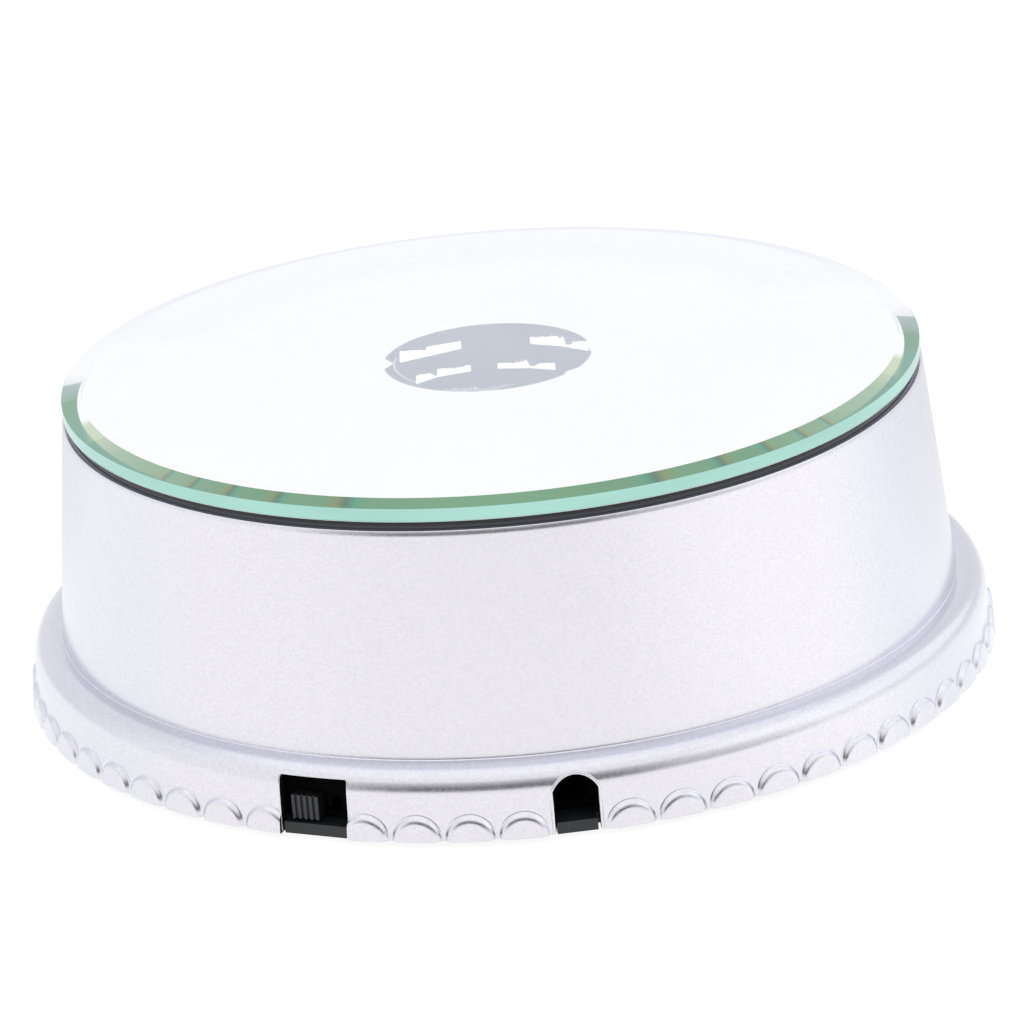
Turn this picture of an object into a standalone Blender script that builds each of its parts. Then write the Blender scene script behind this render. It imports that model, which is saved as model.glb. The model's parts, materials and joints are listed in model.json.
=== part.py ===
"""Mirror-topped rotating display stand: a silver drum on a scalloped skirt, with a geared platter
that carries a round mirror, a central light well, a slide switch and a power socket.

Frame: +Z up, origin on the platter's axis at the level of the table. -Y is the front, halfway
between the switch and the power socket. Plan angles run in degrees from +X towards +Y; azimuths
run in degrees from -Y towards +X. Lengths are millimetres; objects are written in metres.
"""

import math

import bmesh
import bpy
import numpy as np
from mathutils import Matrix, Vector
from mathutils.geometry import tessellate_polygon

MM = 0.001
SHARP_ANGLE = 35.0      # edges folded more than this stay sharp, degrees

# ---- shared dimensions ---------------------------------------------------------------------
SKIRT_Z0 = 1.2          # bottom edge of the casing
DECK_Z0, DECK_Z1 = 44.0, 46.0
SWITCH_AZ, JACK_AZ = -15.0, 15.0

# name: (colour, metallic, roughness)
MATERIALS = {
    "silver_paint": ((0.78, 0.78, 0.81), 0.85, 0.34),
    "black_abs": ((0.018, 0.019, 0.021), 0.0, 0.38),
    "black_gloss": ((0.012, 0.012, 0.014), 0.0, 0.2),
    "glass": ((0.78, 0.93, 0.87), 0.0, 0.02),
    "mirror": ((0.93, 0.94, 0.95), 1.0, 0.03),
    "nylon": ((0.86, 0.85, 0.80), 0.0, 0.45),
    "steel": ((0.60, 0.60, 0.62), 1.0, 0.3),
    "rubber": ((0.03, 0.03, 0.03), 0.0, 0.8),
    "board": ((0.05, 0.22, 0.10), 0.0, 0.45),
    "led_epoxy": ((0.90, 0.92, 0.94), 0.0, 0.08),
    "white_tape": ((0.92, 0.92, 0.92), 0.0, 0.6),
    "copper": ((0.72, 0.42, 0.20), 1.0, 0.35),
    "red_pvc": ((0.55, 0.03, 0.03), 0.0, 0.4),
    "black_pvc": ((0.02, 0.02, 0.02), 0.0, 0.4),
    "grey_plastic": ((0.08, 0.08, 0.085), 0.0, 0.45),
}


# ---- objects and materials -----------------------------------------------------------------
def clear_scene():
    for old in list(bpy.data.objects):
        bpy.data.objects.remove(old, do_unlink=True)


def material(name):
    """The named material, made on first use."""
    found = bpy.data.materials.get(name)
    if found:
        return found
    colour, metallic, roughness = MATERIALS[name]
    made = bpy.data.materials.new(name)
    made.use_nodes = True
    inputs = made.node_tree.nodes["Principled BSDF"].inputs
    inputs["Base Color"].default_value = (*colour, 1.0)
    inputs["Metallic"].default_value = metallic
    inputs["Roughness"].default_value = roughness
    made.diffuse_color = (*colour, 1.0)
    return made


def make(name, bm, material_name, smooth=True):
    """A bmesh in millimetres becomes an object in metres; the bmesh is used up."""
    bmesh.ops.recalc_face_normals(bm, faces=bm.faces)
    bmesh.ops.scale(bm, vec=(MM, MM, MM), verts=bm.verts)
    mesh = bpy.data.meshes.new(name)
    bm.to_mesh(mesh)
    bm.free()
    if smooth:
        mesh.shade_smooth()
        mesh.set_sharp_from_angle(angle=math.radians(SHARP_ANGLE))
    mesh.materials.append(material(material_name))
    obj = bpy.data.objects.new(name, mesh)
    bpy.context.scene.collection.objects.link(obj)
    return obj


def combine(target, tool_bm, operation):
    """Exact Boolean of the object with a tool built in millimetres; the tool is used up."""
    tool = make("tool", tool_bm, "black_abs", smooth=False)
    boolean = target.modifiers.new("cut", "BOOLEAN")
    boolean.solver = "EXACT"
    boolean.operation = operation
    boolean.object = tool
    graph = bpy.context.evaluated_depsgraph_get()
    result = bpy.data.meshes.new_from_object(target.evaluated_get(graph))
    target.modifiers.clear()
    old = target.data
    target.data = result
    result.name = target.name
    bpy.data.meshes.remove(old)
    bpy.data.objects.remove(tool, do_unlink=True)


def cut(target, tool_bm):
    combine(target, tool_bm, "DIFFERENCE")


def add(target, tool_bm):
    combine(target, tool_bm, "UNION")


def seat(obj, x, y, z):
    """Puts the object's origin at a point in millimetres; its shape stays where it is."""
    point = Vector((x, y, z)) * MM
    obj.data.transform(Matrix.Translation(-point))
    obj.location = point


# ---- places in plan ------------------------------------------------------------------------
def polar(radius, angle):
    """Plan point at an angle in degrees from +X."""
    return (radius * math.cos(math.radians(angle)), radius * math.sin(math.radians(angle)))


def polars(radius, angles):
    return [polar(radius, angle) for angle in angles]


def front(along, out, azimuth):
    """Plan point so far along the skirt (towards +X at the front) and out from the axis."""
    turn = math.radians(azimuth)
    return (along * math.cos(turn) + out * math.sin(turn),
            along * math.sin(turn) - out * math.cos(turn))


def circle(radius, segments, centre=(0.0, 0.0)):
    return [
        (centre[0] + radius * math.cos(2 * math.pi * k / segments),
         centre[1] + radius * math.sin(2 * math.pi * k / segments))
        for k in range(segments)
    ]


# ---- solids, as bmeshes in millimetres -----------------------------------------------------
def lathe(profile, segments, centre=(0.0, 0.0), turn=0.0):
    """Closed (r, z) outline spun about a vertical axis; axis points become one vertex each."""
    bm = bmesh.new()
    rings = []
    for r, z in profile:
        if r < 1e-6:
            rings.append([bm.verts.new((*centre, z))] * segments)
            continue
        angles = [math.radians(turn) + 2 * math.pi * k / segments for k in range(segments)]
        rings.append([
            bm.verts.new((centre[0] + r * math.cos(angle), centre[1] + r * math.sin(angle), z))
            for angle in angles
        ])
    for i, ring in enumerate(rings):
        following = rings[(i + 1) % len(rings)]
        for k in range(segments):
            n = (k + 1) % segments
            corners = []
            for vert in (ring[k], ring[n], following[n], following[k]):
                if vert not in corners:
                    corners.append(vert)
            if len(corners) >= 3:
                bm.faces.new(corners)
    return bm


def rod(radius, z0, z1, segments, centre=(0.0, 0.0), turn=0.0):
    """Upright cylinder. Tuples of its first four arguments describe posts and bores below."""
    return lathe([(0, z0), (radius, z0), (radius, z1), (0, z1)], segments, centre, turn)


def prism(outline, z0, z1, holes=()):
    """Straight-sided solid with the plan outline and holes given, between two heights."""
    loops = [[Vector((x, y, 0)) for x, y in loop] for loop in (outline, *holes)]
    flat = [point for loop in loops for point in loop]
    bm = bmesh.new()
    low = [bm.verts.new((point.x, point.y, z0)) for point in flat]
    high = [bm.verts.new((point.x, point.y, z1)) for point in flat]
    for a, b, c in tessellate_polygon(loops):
        bm.faces.new((low[a], low[b], low[c]))
        bm.faces.new((high[c], high[b], high[a]))
    start = 0
    for loop in loops:
        for k in range(len(loop)):
            i, j = start + k, start + (k + 1) % len(loop)
            bm.faces.new((low[i], low[j], high[j], high[i]))
        start += len(loop)
    return bm


def loft(inner_points, outer_points):
    """Solid between two matching loops of points."""
    bm = bmesh.new()
    inner = [bm.verts.new(point) for point in inner_points]
    outer = [bm.verts.new(point) for point in outer_points]
    bm.faces.new(inner)
    bm.faces.new(list(reversed(outer)))
    for k in range(len(inner)):
        n = (k + 1) % len(inner)
        bm.faces.new((inner[n], inner[k], outer[k], outer[n]))
    return bm


def box(size, centre, turn):
    """Box about a centre, turned about Z by degrees."""
    bm = bmesh.new()
    bmesh.ops.create_cube(bm, size=1.0)
    bmesh.ops.scale(bm, vec=size, verts=bm.verts)
    rotation = Matrix.Rotation(math.radians(turn), 3, "Z")
    bmesh.ops.rotate(bm, cent=(0, 0, 0), matrix=rotation, verts=bm.verts)
    bmesh.ops.translate(bm, vec=centre, verts=bm.verts)
    return bm


def front_box(azimuth, along, out, up):
    """Box from ranges along the skirt, outwards and up."""
    centre = front((along[0] + along[1]) / 2, (out[0] + out[1]) / 2, azimuth)
    size = (along[1] - along[0], out[1] - out[0], up[1] - up[0])
    return box(size, (*centre, (up[0] + up[1]) / 2), azimuth)


def lay_radially(bm, origin, outward):
    """Lays a bmesh built about the origin on its side, its Z axis along the plan direction."""
    matrix = Matrix((
        (-outward[1], 0, outward[0], origin[0]),
        (outward[0], 0, outward[1], origin[1]),
        (0, 1, 0, origin[2]),
        (0, 0, 0, 1),
    ))
    bmesh.ops.transform(bm, matrix=matrix, verts=bm.verts)
    return bm


def radial_cylinder(radius, out, azimuth, z, segments):
    """Level cylinder pointing outwards over the range out."""
    bm = bmesh.new()
    bmesh.ops.create_cone(bm, cap_ends=True, cap_tris=False, segments=segments,
                          radius1=radius, radius2=radius, depth=out[1] - out[0])
    middle = front(0, (out[0] + out[1]) / 2, azimuth)
    return lay_radially(bm, (*middle, z), front(0, 1, azimuth))


def merge(parts):
    """Several bmeshes side by side in one."""
    merged = bmesh.new()
    for part in parts:
        mesh = bpy.data.meshes.new("part")
        part.to_mesh(mesh)
        part.free()
        merged.from_mesh(mesh)
        bpy.data.meshes.remove(mesh)
    return merged


def build_screws(name, places, head_z, head_h, head_r, shank_r, length):
    """Numbered slotted pan-head screws driven upwards: the heads are at the bottom."""
    shank_z = head_z + head_h
    profile = [
        (0, head_z), (head_r * 0.8, head_z), (head_r, head_z + head_h * 0.4), (head_r, shank_z),
        (shank_r, shank_z), (shank_r, shank_z + length), (0, shank_z + length),
    ]
    for i, (x, y) in enumerate(places):
        screw = make(f"{name}_{i + 1}", lathe(profile, 8, (x, y), turn=22.5), "steel")
        cut(screw, box((head_r * 2.4, head_r * 0.3, head_h), (x, y, head_z), 0.0))
        seat(screw, x, y, head_z)


# ---- gear train layout ---------------------------------------------------------------------
RING_M, RING_N, OUT_N = 2.0, 63, 9              # module; teeth of the ring and output pinion
TRAIN_M, WHEEL_N, PINION_N = 0.9, 24, 8         # module; teeth of each wheel and pinion
OUT_CENTRE_R = RING_M * (RING_N - OUT_N) / 2
TRAIN_D = TRAIN_M * (WHEEL_N + PINION_N) / 2    # centre distance
STEP_ANGLE = 2 * math.degrees(math.asin(TRAIN_D / 2 / OUT_CENTRE_R))
PRESSURE_ANGLE = math.radians(20.0)

# tooth sizes in modules; slack is added to each flank's half width, for backlash
GEAR_ADDENDUM, GEAR_DEDENDUM, GEAR_SLACK = 0.85, 1.25, -0.07
RING_ADDENDUM, RING_DEDENDUM, RING_SLACK = 0.6, 1.15, 0.10

# output, second, first, motor
GEAR_ANGLES = [90.0 - k * STEP_ANGLE for k in range(4)]
GEAR_CENTRES = polars(OUT_CENTRE_R, GEAR_ANGLES)
OUT_C, SECOND_C, FIRST_C, MOTOR_C = GEAR_CENTRES


def mesh_turn(teeth, direction, driven_teeth, driven_turn):
    """Turn of a gear that meshes with one whose turn is known; direction points to it from
    the known gear (radians)."""
    phase = driven_teeth * (direction - driven_turn) / (2 * math.pi)
    return direction + math.pi - (0.5 - phase) * 2 * math.pi / teeth


def train_turns():
    """Turn of each axle in radians; a wheel has the same turn as the pinion on its axle.
    The ring gear has a tooth centred on +X."""
    direction = math.radians(GEAR_ANGLES[0])
    phase = RING_N * direction / (2 * math.pi)
    turns = [direction - (phase + 0.5) * 2 * math.pi / OUT_N]
    for here, there in zip(GEAR_CENTRES, GEAR_CENTRES[1:]):
        direction = math.atan2(there[1] - here[1], there[0] - here[0])
        turns.append(mesh_turn(PINION_N, direction, WHEEL_N, turns[-1]))
    return turns


GEAR_TURNS = train_turns()


def toothed_outline(teeth, module, first, below, above, slack):
    """Outline of external teeth centred on the origin, the first at the angle given; below and
    above are depths from the pitch circle. Each flank is the chord of its involute."""
    pitch_r = module * teeth / 2
    base_r = pitch_r * math.cos(PRESSURE_ANGLE)

    def involute(angle):
        return math.tan(angle) - angle

    half = math.pi / 2 / teeth + slack * module / pitch_r + involute(PRESSURE_ANGLE)
    flank = [(r, half - involute(math.acos(min(1.0, base_r / r))))
             for r in (pitch_r - below * module, pitch_r + above * module)]
    points = []
    for k in range(teeth):
        middle = first + 2 * math.pi * k / teeth
        for r, width in flank:
            points.append((r * math.cos(middle - width), r * math.sin(middle - width)))
        for r, width in reversed(flank):
            points.append((r * math.cos(middle + width), r * math.sin(middle + width)))
    return points


def gear_outline(teeth, module, axle):
    """Spur gear on one of the four axles."""
    outline = toothed_outline(teeth, module, GEAR_TURNS[axle],
                              GEAR_DEDENDUM, GEAR_ADDENDUM, GEAR_SLACK)
    centre = GEAR_CENTRES[axle]
    return [(x + centre[0], y + centre[1]) for x, y in outline]


# ---- fixing places shared between pieces ---------------------------------------------------
BOSSES = polars(72.0, (45.0, 135.0, 225.0, 315.0))
CUP_POSTS = polars(32.0, (30.0, 150.0, 270.0))
GEARBOX_POSTS = [polar(67.7, 100.6), polar(47.9, 106.0), polar(40.6, 34.2), polar(68.4, 64.3)]
FEET = polars(74.0, (0.0, 90.0, 180.0, 270.0))
BOARD_POSTS = [(-12.0, -61.0), (12.0, -61.0), (0.0, -48.5)]
ROLLER_AT = 72.0
ROLLER_ANGLES = (10.0, 130.0, 250.0)

# ---- casing --------------------------------------------------------------------------------
DRUM_TOP_Z = 55.35
DRUM_REF_R, DRUM_REF_Z, DRUM_TAPER = 80.27, 55.57, 0.1024
DECK_HOLE_R = 26.0


def drum_r(z):
    """Outer radius of the tapered drum."""
    return DRUM_REF_R + (DRUM_REF_Z - z) * DRUM_TAPER


# (r, z): up the outside, then down the inside by way of the deck
SHELL_OUTER = [
    (90.5, SKIRT_Z0), (90.1, 9.6), (89.5, 11.9), (87.9, 13.5), (85.6, 14.1),
    (drum_r(14.5), 14.5), (drum_r(53.8), 53.8), (79.85, 55.0), (79.1, DRUM_TOP_Z),
]
SHELL_INNER = [
    (77.9, DRUM_TOP_Z), (78.9, DECK_Z1), (DECK_HOLE_R, DECK_Z1), (DECK_HOLE_R, DECK_Z0),
    (79.1, DECK_Z0), (82.2, 12.1), (85.6, 12.1), (87.6, 11.2), (88.1, 9.6), (88.4, SKIRT_Z0),
]

# each row: places, post and bore as (radius, z0, z1, segments)
DECK_BOSSES = (BOSSES, (4.0, 5.5, 44.8, 12), (1.8, 2.0, 16.0, 10))
DECK_CUP_POSTS = (CUP_POSTS, (2.6, 40.7, 44.8, 12), (1.2, 40.0, 45.0, 8))
DECK_GEARBOX_POSTS = (GEARBOX_POSTS, (2.8, 43.7, 44.8, 12), (1.25, 43.0, 45.3, 8))
SHAFT_HOLE = (3.2, 42, 48, 16)
SHAFT_HOLE_TURN = 7.0   # degrees

EAR_SPANS = ((68.2, 69.6), (74.4, 75.8))    # radial ranges of the two roller ears
EAR_W, EAR_H, EAR_Z = 6.0, 7.6, 48.4        # width, height, mid height
NOTCH_SIZE, NOTCH_Z = (9.0, 2.3, 4.0), 51.75

SCALLOPS = 60           # positions round the skirt; two are taken by the switch and the socket
SCALLOP_R = 4.4
SCALLOP_IN, SCALLOP_OUT = 89.4, 91.15
SCALLOP_ARC_RISE = 0.6      # arc centre above the skirt's bottom edge
SCALLOP_NARROWING = 0.93    # outer face width over inner face width
SCALLOP_DROP = 0.25         # outer arc below the inner arc

SWITCH_WINDOW = ((-6.5, 6.5), (80.5, 96.0), (0.0, 12.0))    # along, out, up
ARCH_HALF, ARCH_R, ARCH_CZ = 4.1, 4.46, 7.3     # half width, radius, centre height
ARCH_IN, ARCH_OUT = 83.0, 96.0


def bored_posts(target, places, post, bore):
    for place in places:
        add(target, rod(*post, place))
        cut(target, rod(*bore, place))


def scallop(azimuth):
    """Raised half-disc pad on the skirt."""
    foot_z = SKIRT_Z0 + 0.02
    outline = [(-SCALLOP_R, foot_z)]
    for k in range(5):
        angle = math.pi * k / 4
        outline.append((-SCALLOP_R * math.cos(angle),
                        SKIRT_Z0 + SCALLOP_ARC_RISE + SCALLOP_R * math.sin(angle)))
    outline.append((SCALLOP_R, foot_z))
    inner = [(*front(u, SCALLOP_IN, azimuth), z) for u, z in outline]
    outer = [(*front(u * SCALLOP_NARROWING, SCALLOP_OUT, azimuth),
              z if z == foot_z else z - SCALLOP_DROP) for u, z in outline]
    return loft(inner, outer)


def scallops():
    """All the pads, leaving out those at the two openings."""
    pads = []
    for k in range(SCALLOPS):
        azimuth = 360.0 / SCALLOPS * (k + 0.5)
        signed = (azimuth + 180) % 360 - 180
        if abs(signed - SWITCH_AZ) > 1 and abs(signed - JACK_AZ) > 1:
            pads.append(scallop(azimuth))
    return merge(pads)


def socket_arch():
    """Cutter for the round-topped opening of the power socket."""
    start = math.acos(ARCH_HALF / ARCH_R)
    outline = [(-ARCH_HALF, 0.0)]
    for k in range(11):
        angle = start + (math.pi - 2 * start) * k / 10
        outline.append((-ARCH_R * math.cos(angle), ARCH_CZ + ARCH_R * math.sin(angle)))
    outline.append((ARCH_HALF, 0.0))
    return loft([(*front(u, ARCH_IN, JACK_AZ), z) for u, z in outline],
                [(*front(u, ARCH_OUT, JACK_AZ), z) for u, z in outline])


def build_housing():
    shell = make("housing_shell", lathe(SHELL_OUTER + SHELL_INNER, 60), "silver_paint")
    bored_posts(shell, *DECK_BOSSES)
    bored_posts(shell, *DECK_CUP_POSTS)
    cut(shell, rod(*SHAFT_HOLE, OUT_C, SHAFT_HOLE_TURN))
    bored_posts(shell, *DECK_GEARBOX_POSTS)
    # roller cradles on the deck: two notched ears for each axle
    for angle in ROLLER_ANGLES:
        for r0, r1 in EAR_SPANS:
            place = polar((r0 + r1) / 2, angle)
            add(shell, box((r1 - r0, EAR_W, EAR_H), (*place, EAR_Z), angle))
        cut(shell, box(NOTCH_SIZE, (*polar(ROLLER_AT, angle), NOTCH_Z), angle))
    add(shell, scallops())
    cut(shell, front_box(SWITCH_AZ, *SWITCH_WINDOW))
    cut(shell, socket_arch())


# ---- bottom plate and feet -----------------------------------------------------------------
PLATE_R = 87.9
PLATE_Z0, PLATE_Z1 = SKIRT_Z0, 3.4
TAB_UP = (PLATE_Z0 + 0.05, PLATE_Z1 - 0.05)
SWITCH_TAB = ((-5.95, 6.2), (85.0, 90.2), TAB_UP)   # along, out, up
JACK_TAB = ((-3.7, 3.5), (85.0, 90.4), TAB_UP)
PLATE_PAD = (5.4, 3.0, 5.2, 14)
FOOT_RECESS = (3.8, 0.0, 2.6, 12)
# (r, z)
SCREW_RECESS = [(0, 0.0), (3.5, 0.0), (3.5, 3.2), (1.9, 3.2), (1.9, 6.0), (0, 6.0)]
BOARD_POST = [(0, 3.0), (2.2, 3.0), (2.2, 5.7), (0.85, 5.7), (0.85, 8.6), (0, 8.6)]
FOOT = [(0, 0), (5.6, 0), (6.0, 0.4), (6.0, 1.15), (3.5, 1.15), (3.5, 2.4), (0, 2.4)]


def build_base_plate():
    plate = make("base_plate", rod(PLATE_R, PLATE_Z0, PLATE_Z1, 60), "black_abs")
    add(plate, front_box(SWITCH_AZ, *SWITCH_TAB))
    add(plate, front_box(JACK_AZ, *JACK_TAB))
    for place in BOSSES:
        add(plate, rod(*PLATE_PAD, place))
        cut(plate, lathe(SCREW_RECESS, 12, place))
    for place in FEET:
        cut(plate, rod(*FOOT_RECESS, place))
    for place in BOARD_POSTS:
        add(plate, lathe(BOARD_POST, 10, place))
    build_screws("base_screw", BOSSES,
                 head_z=1.5, head_h=1.6, head_r=3.0, shank_r=1.5, length=10.5)


def build_feet():
    for i, place in enumerate(FEET):
        seat(make(f"foot_{i + 1}", lathe(FOOT, 12, place), "rubber"), *place, 0.0)


# ---- slide switch: boxes are (along, out, up) ----------------------------------------------
SWITCH_BODY = ((-8.0, 8.0), (78.5, 86.75), (3.75, 10.9))
SHUTTLE_CAVITY = ((-5.7, 5.7), (80.4, 85.6), (4.35, 8.4))
STEM_SLOT = ((-3.75, 3.75), (84.0, 88.0), (4.65, 7.65))

KNOB_REST = -2.1        # middle of the knob along the skirt
KNOB_HALF = 2.85
KNOB_ORIGIN_OUT, KNOB_ORIGIN_Z = 87.0, 6.15
# knob parts: (half width, out, up)
KNOB_GRIP = (KNOB_HALF, (87.05, 90.3), (3.9, 8.4))
KNOB_STEM = (1.25, (84.6, 87.6), (4.95, 7.35))
KNOB_SHUTTLE = (3.2, (81.0, 85.2), (4.75, 8.0))
GROOVES = 4
GROOVE = (0.18, (89.9, 91.0), (3.0, 9.2))


def knob_box(half, out, up, middle=KNOB_REST):
    return front_box(SWITCH_AZ, (middle - half, middle + half), out, up)


def build_switch():
    body = make("switch_body", front_box(SWITCH_AZ, *SWITCH_BODY), "black_abs")
    cut(body, front_box(SWITCH_AZ, *SHUTTLE_CAVITY))
    cut(body, front_box(SWITCH_AZ, *STEM_SLOT))

    knob = make("switch_knob", knob_box(*KNOB_GRIP), "grey_plastic")
    add(knob, knob_box(*KNOB_STEM))
    add(knob, knob_box(*KNOB_SHUTTLE))
    for k in range(GROOVES):
        middle = KNOB_REST - KNOB_HALF + 2 * KNOB_HALF * (k + 1) / (GROOVES + 1)
        cut(knob, knob_box(*GROOVE, middle))
    seat(knob, *front(KNOB_REST, KNOB_ORIGIN_OUT, SWITCH_AZ), KNOB_ORIGIN_Z)


# ---- power socket --------------------------------------------------------------------------
JACK_Z = 7.4
JACK_BODY = ((-4.6, 4.6), (71.0, 85.3), (3.75, 11.1))   # along, out, up
JACK_BORE_R, JACK_BORE_OUT = 2.9, (74.0, 87.0)
JACK_PIN_R, JACK_PIN_OUT = 0.95, (74.3, 84.2)
JACK_PIN_ORIGIN_OUT = 79.0


def build_jack():
    body = make("jack_body", front_box(JACK_AZ, *JACK_BODY), "black_gloss")
    cut(body, radial_cylinder(JACK_BORE_R, JACK_BORE_OUT, JACK_AZ, JACK_Z, 20))
    pin = make("jack_pin", radial_cylinder(JACK_PIN_R, JACK_PIN_OUT, JACK_AZ, JACK_Z, 12),
               "steel")
    seat(pin, *front(0, JACK_PIN_ORIGIN_OUT, JACK_AZ), JACK_Z)


# ---- control board -------------------------------------------------------------------------
CONTROL_OUTLINE = [(-17, -66), (17, -66), (17, -45), (-17, -45)]
CONTROL_Z0, CONTROL_Z1 = 6.0, 7.6
CONTROL_HOLE_R = 1.15
CAPACITOR_AT = (-8.0, -53.0)
# (r, z), with a groove round the can near its foot
CAPACITOR = [
    (0, 7.8), (3.1, 7.8), (3.15, 8.4), (2.95, 8.8), (3.15, 9.2), (3.15, 15.6), (2.8, 16.0),
    (0, 16.0),
]


def build_control_board():
    holes = [circle(CONTROL_HOLE_R, 8, place) for place in BOARD_POSTS]
    make("control_board", prism(CONTROL_OUTLINE, CONTROL_Z0, CONTROL_Z1, holes), "board")
    make("capacitor", lathe(CAPACITOR, 12, CAPACITOR_AT), "black_gloss")


# ---- light well ----------------------------------------------------------------------------
# (r, z): floor, flange, outer wall, lip, bore
LED_CUP = [
    (5.0, 36.0), (21.5, 36.0), (21.5, 38.5), (35.0, 38.5), (35.0, 40.5), (21.5, 40.5),
    (21.5, 53.7), (21.1, 54.0), (20.0, 54.0), (19.5, 53.6), (19.5, 37.9), (5.0, 37.9),
]
CUP_SCREW_HOLE = (1.4, 37, 42, 8)
LED_BOARD_R, LED_BOARD_Z0, LED_BOARD_Z1 = 19.1, 38.1, 39.7
LED_BASE_Z = LED_BOARD_Z1 + 0.1
LED_FLANGE_Z = LED_BOARD_Z1 + 1.1
LED_TOP_Z = 48.3
LED_RING_R = 11.0
LED_PROFILE = [
    (0, LED_BASE_Z), (2.9, LED_BASE_Z), (2.9, LED_FLANGE_Z), (2.5, LED_FLANGE_Z),
    (2.5, LED_TOP_Z - 2.0), (1.6, LED_TOP_Z - 0.5), (0, LED_TOP_Z),
]
DIFFUSER = [(0, 54.9), (18.9, 54.9), (19.3, 55.3), (19.3, 56.4), (0, 56.4)]


def build_light_well():
    cup = make("led_cup", lathe(LED_CUP, 36), "black_abs")
    for place in CUP_POSTS:
        cut(cup, rod(*CUP_SCREW_HOLE, place))
    make("led_board", prism(circle(LED_BOARD_R, 32), LED_BOARD_Z0, LED_BOARD_Z1), "board")
    make("led_centre", lathe(LED_PROFILE, 10), "led_epoxy")
    for k in range(5):
        place = polar(LED_RING_R, 72.0 * k + 18.0)
        make(f"led_{k + 1}", lathe(LED_PROFILE, 10, place), "led_epoxy")
    # frosted disc under the window
    make("diffuser_disc", lathe(DIFFUSER, 40), "white_tape")
    build_screws("cup_screw", CUP_POSTS,
                 head_z=36.9, head_h=1.4, head_r=2.2, shank_r=0.95, length=5.0)


# ---- torn white tape that holds the diffuser to the glass ----------------------------------
TAPE_Z0, TAPE_Z1 = 56.48, 56.78
TAPE_TURN = math.radians(9.4)
TAPE_SAMPLES = 14
TEAR = 0.18             # depth of the ragged edge
TAPE_MIN_W = 0.35
# each tape: plan points of its cut edge, then (fraction along, width) of its torn edge
TAPES = (
    ([(-16.6, 1.1), (-5.0, 6.4)],
     [(0.0, 6.1), (0.36, 4.2), (0.40, 5.6), (1.0, 4.3)]),
    ([(7.65, 6.0), (14.2, 2.8), (18.7, -1.1)],
     [(0.0, 3.9), (0.56, 5.0), (0.58, 1.2), (0.68, 3.0), (0.78, 4.2), (1.0, 4.9)]),
    ([(-13.7, -12.0), (-9.8, -9.0), (-3.5, -7.2)],
     [(0.0, 4.8), (0.25, 2.8), (0.40, 0.5), (0.44, 3.7), (0.52, 4.3), (0.90, 2.8), (1.0, 3.4)]),
    ([(1.5, -6.9), (7.5, -8.2), (12.4, -10.5)],
     [(0.0, 2.9), (0.3, 3.1), (0.5, 3.6), (0.55, 0.9), (0.62, 1.0), (0.75, 3.0), (1.0, 3.9)]),
)


def tape_outline(path, widths):
    """Cut edge along the path, torn edge above it, turned into place."""
    reach = [0.0]
    for here, there in zip(path, path[1:]):
        reach.append(reach[-1] + math.dist(here, there))
    path_x, path_y = zip(*path)
    stations, station_widths = zip(*widths)
    samples = {k / TAPE_SAMPLES for k in range(TAPE_SAMPLES + 1)} | set(stations)
    torn = []
    for t in sorted(samples, reverse=True):
        x = np.interp(t * reach[-1], reach, path_x)
        y = np.interp(t * reach[-1], reach, path_y)
        ragged = TEAR * math.sin(41.0 * t + 3.0 * math.sin(17.0 * t))
        torn.append((x, y + max(TAPE_MIN_W, np.interp(t, stations, station_widths) + ragged)))
    cosine, sine = math.cos(TAPE_TURN), math.sin(TAPE_TURN)
    return [(x * cosine - y * sine, x * sine + y * cosine) for x, y in path + torn]


def build_tapes():
    for i, (path, widths) in enumerate(TAPES):
        outline = tape_outline(path, widths)
        make(f"tape_{i + 1}", prism(outline, TAPE_Z0, TAPE_Z1), "white_tape", smooth=False)


# ---- gears ---------------------------------------------------------------------------------
RING_OUTER_R, RING_Z0, RING_Z1 = 67.6, 49.5, 54.38
# levels of the output, second and first wheels
LEVELS = ((37.6, 40.6), (33.6, 36.6), (29.6, 32.6))
WHEEL_INSET = 0.4       # wheel faces inside their level
PINION_SINK, HUB_SINK = 0.3, 0.2    # overlap with the wheel
IDLER_BORE_R = 1.2
HUB_R, HUB_BOTTOM_Z = 2.1, 28.7
COLLAR_Z0, COLLAR_Z1 = 36.4, 41.2   # collar above the first gear's pinion
OUT_SHAFT = [(0, 26.8), (1.5, 26.8), (1.5, 29.0), (2.5, 29.0), (2.5, 48.9), (0, 48.9)]
OUT_PINION_Z0, OUT_PINION_Z1 = 48.6, 53.9
MOTOR_SHAFT = (1.0, 24.0, 30.0, 10)
GEAR_PIN = (1.0, 27.0, 42.6, 12)


def build_ring_gear():
    # the spaces of the ring have the shape of external teeth
    teeth = toothed_outline(RING_N, RING_M, math.pi / RING_N,
                            RING_ADDENDUM, RING_DEDENDUM, RING_SLACK)
    make("ring_gear", prism(circle(RING_OUTER_R, 48), RING_Z0, RING_Z1, [teeth]), "nylon",
         smooth=False)


def wheel(name, axle, holes=()):
    z0, z1 = LEVELS[axle]
    outline = gear_outline(WHEEL_N, TRAIN_M, axle)
    solid = prism(outline, z0 + WHEEL_INSET, z1 - WHEEL_INSET, holes)
    return make(name, solid, "nylon", smooth=False)


def seat_gear(gear, axle, level):
    seat(gear, *GEAR_CENTRES[axle], sum(level) / 2)


def build_output_gear():
    """Wheel, shaft through the deck and pinion under the platter."""
    gear = wheel("gear_output", 0)
    add(gear, lathe(OUT_SHAFT, 16, OUT_C))
    add(gear, prism(gear_outline(OUT_N, RING_M, 0), OUT_PINION_Z0, OUT_PINION_Z1))
    seat_gear(gear, 0, LEVELS[0])


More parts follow.
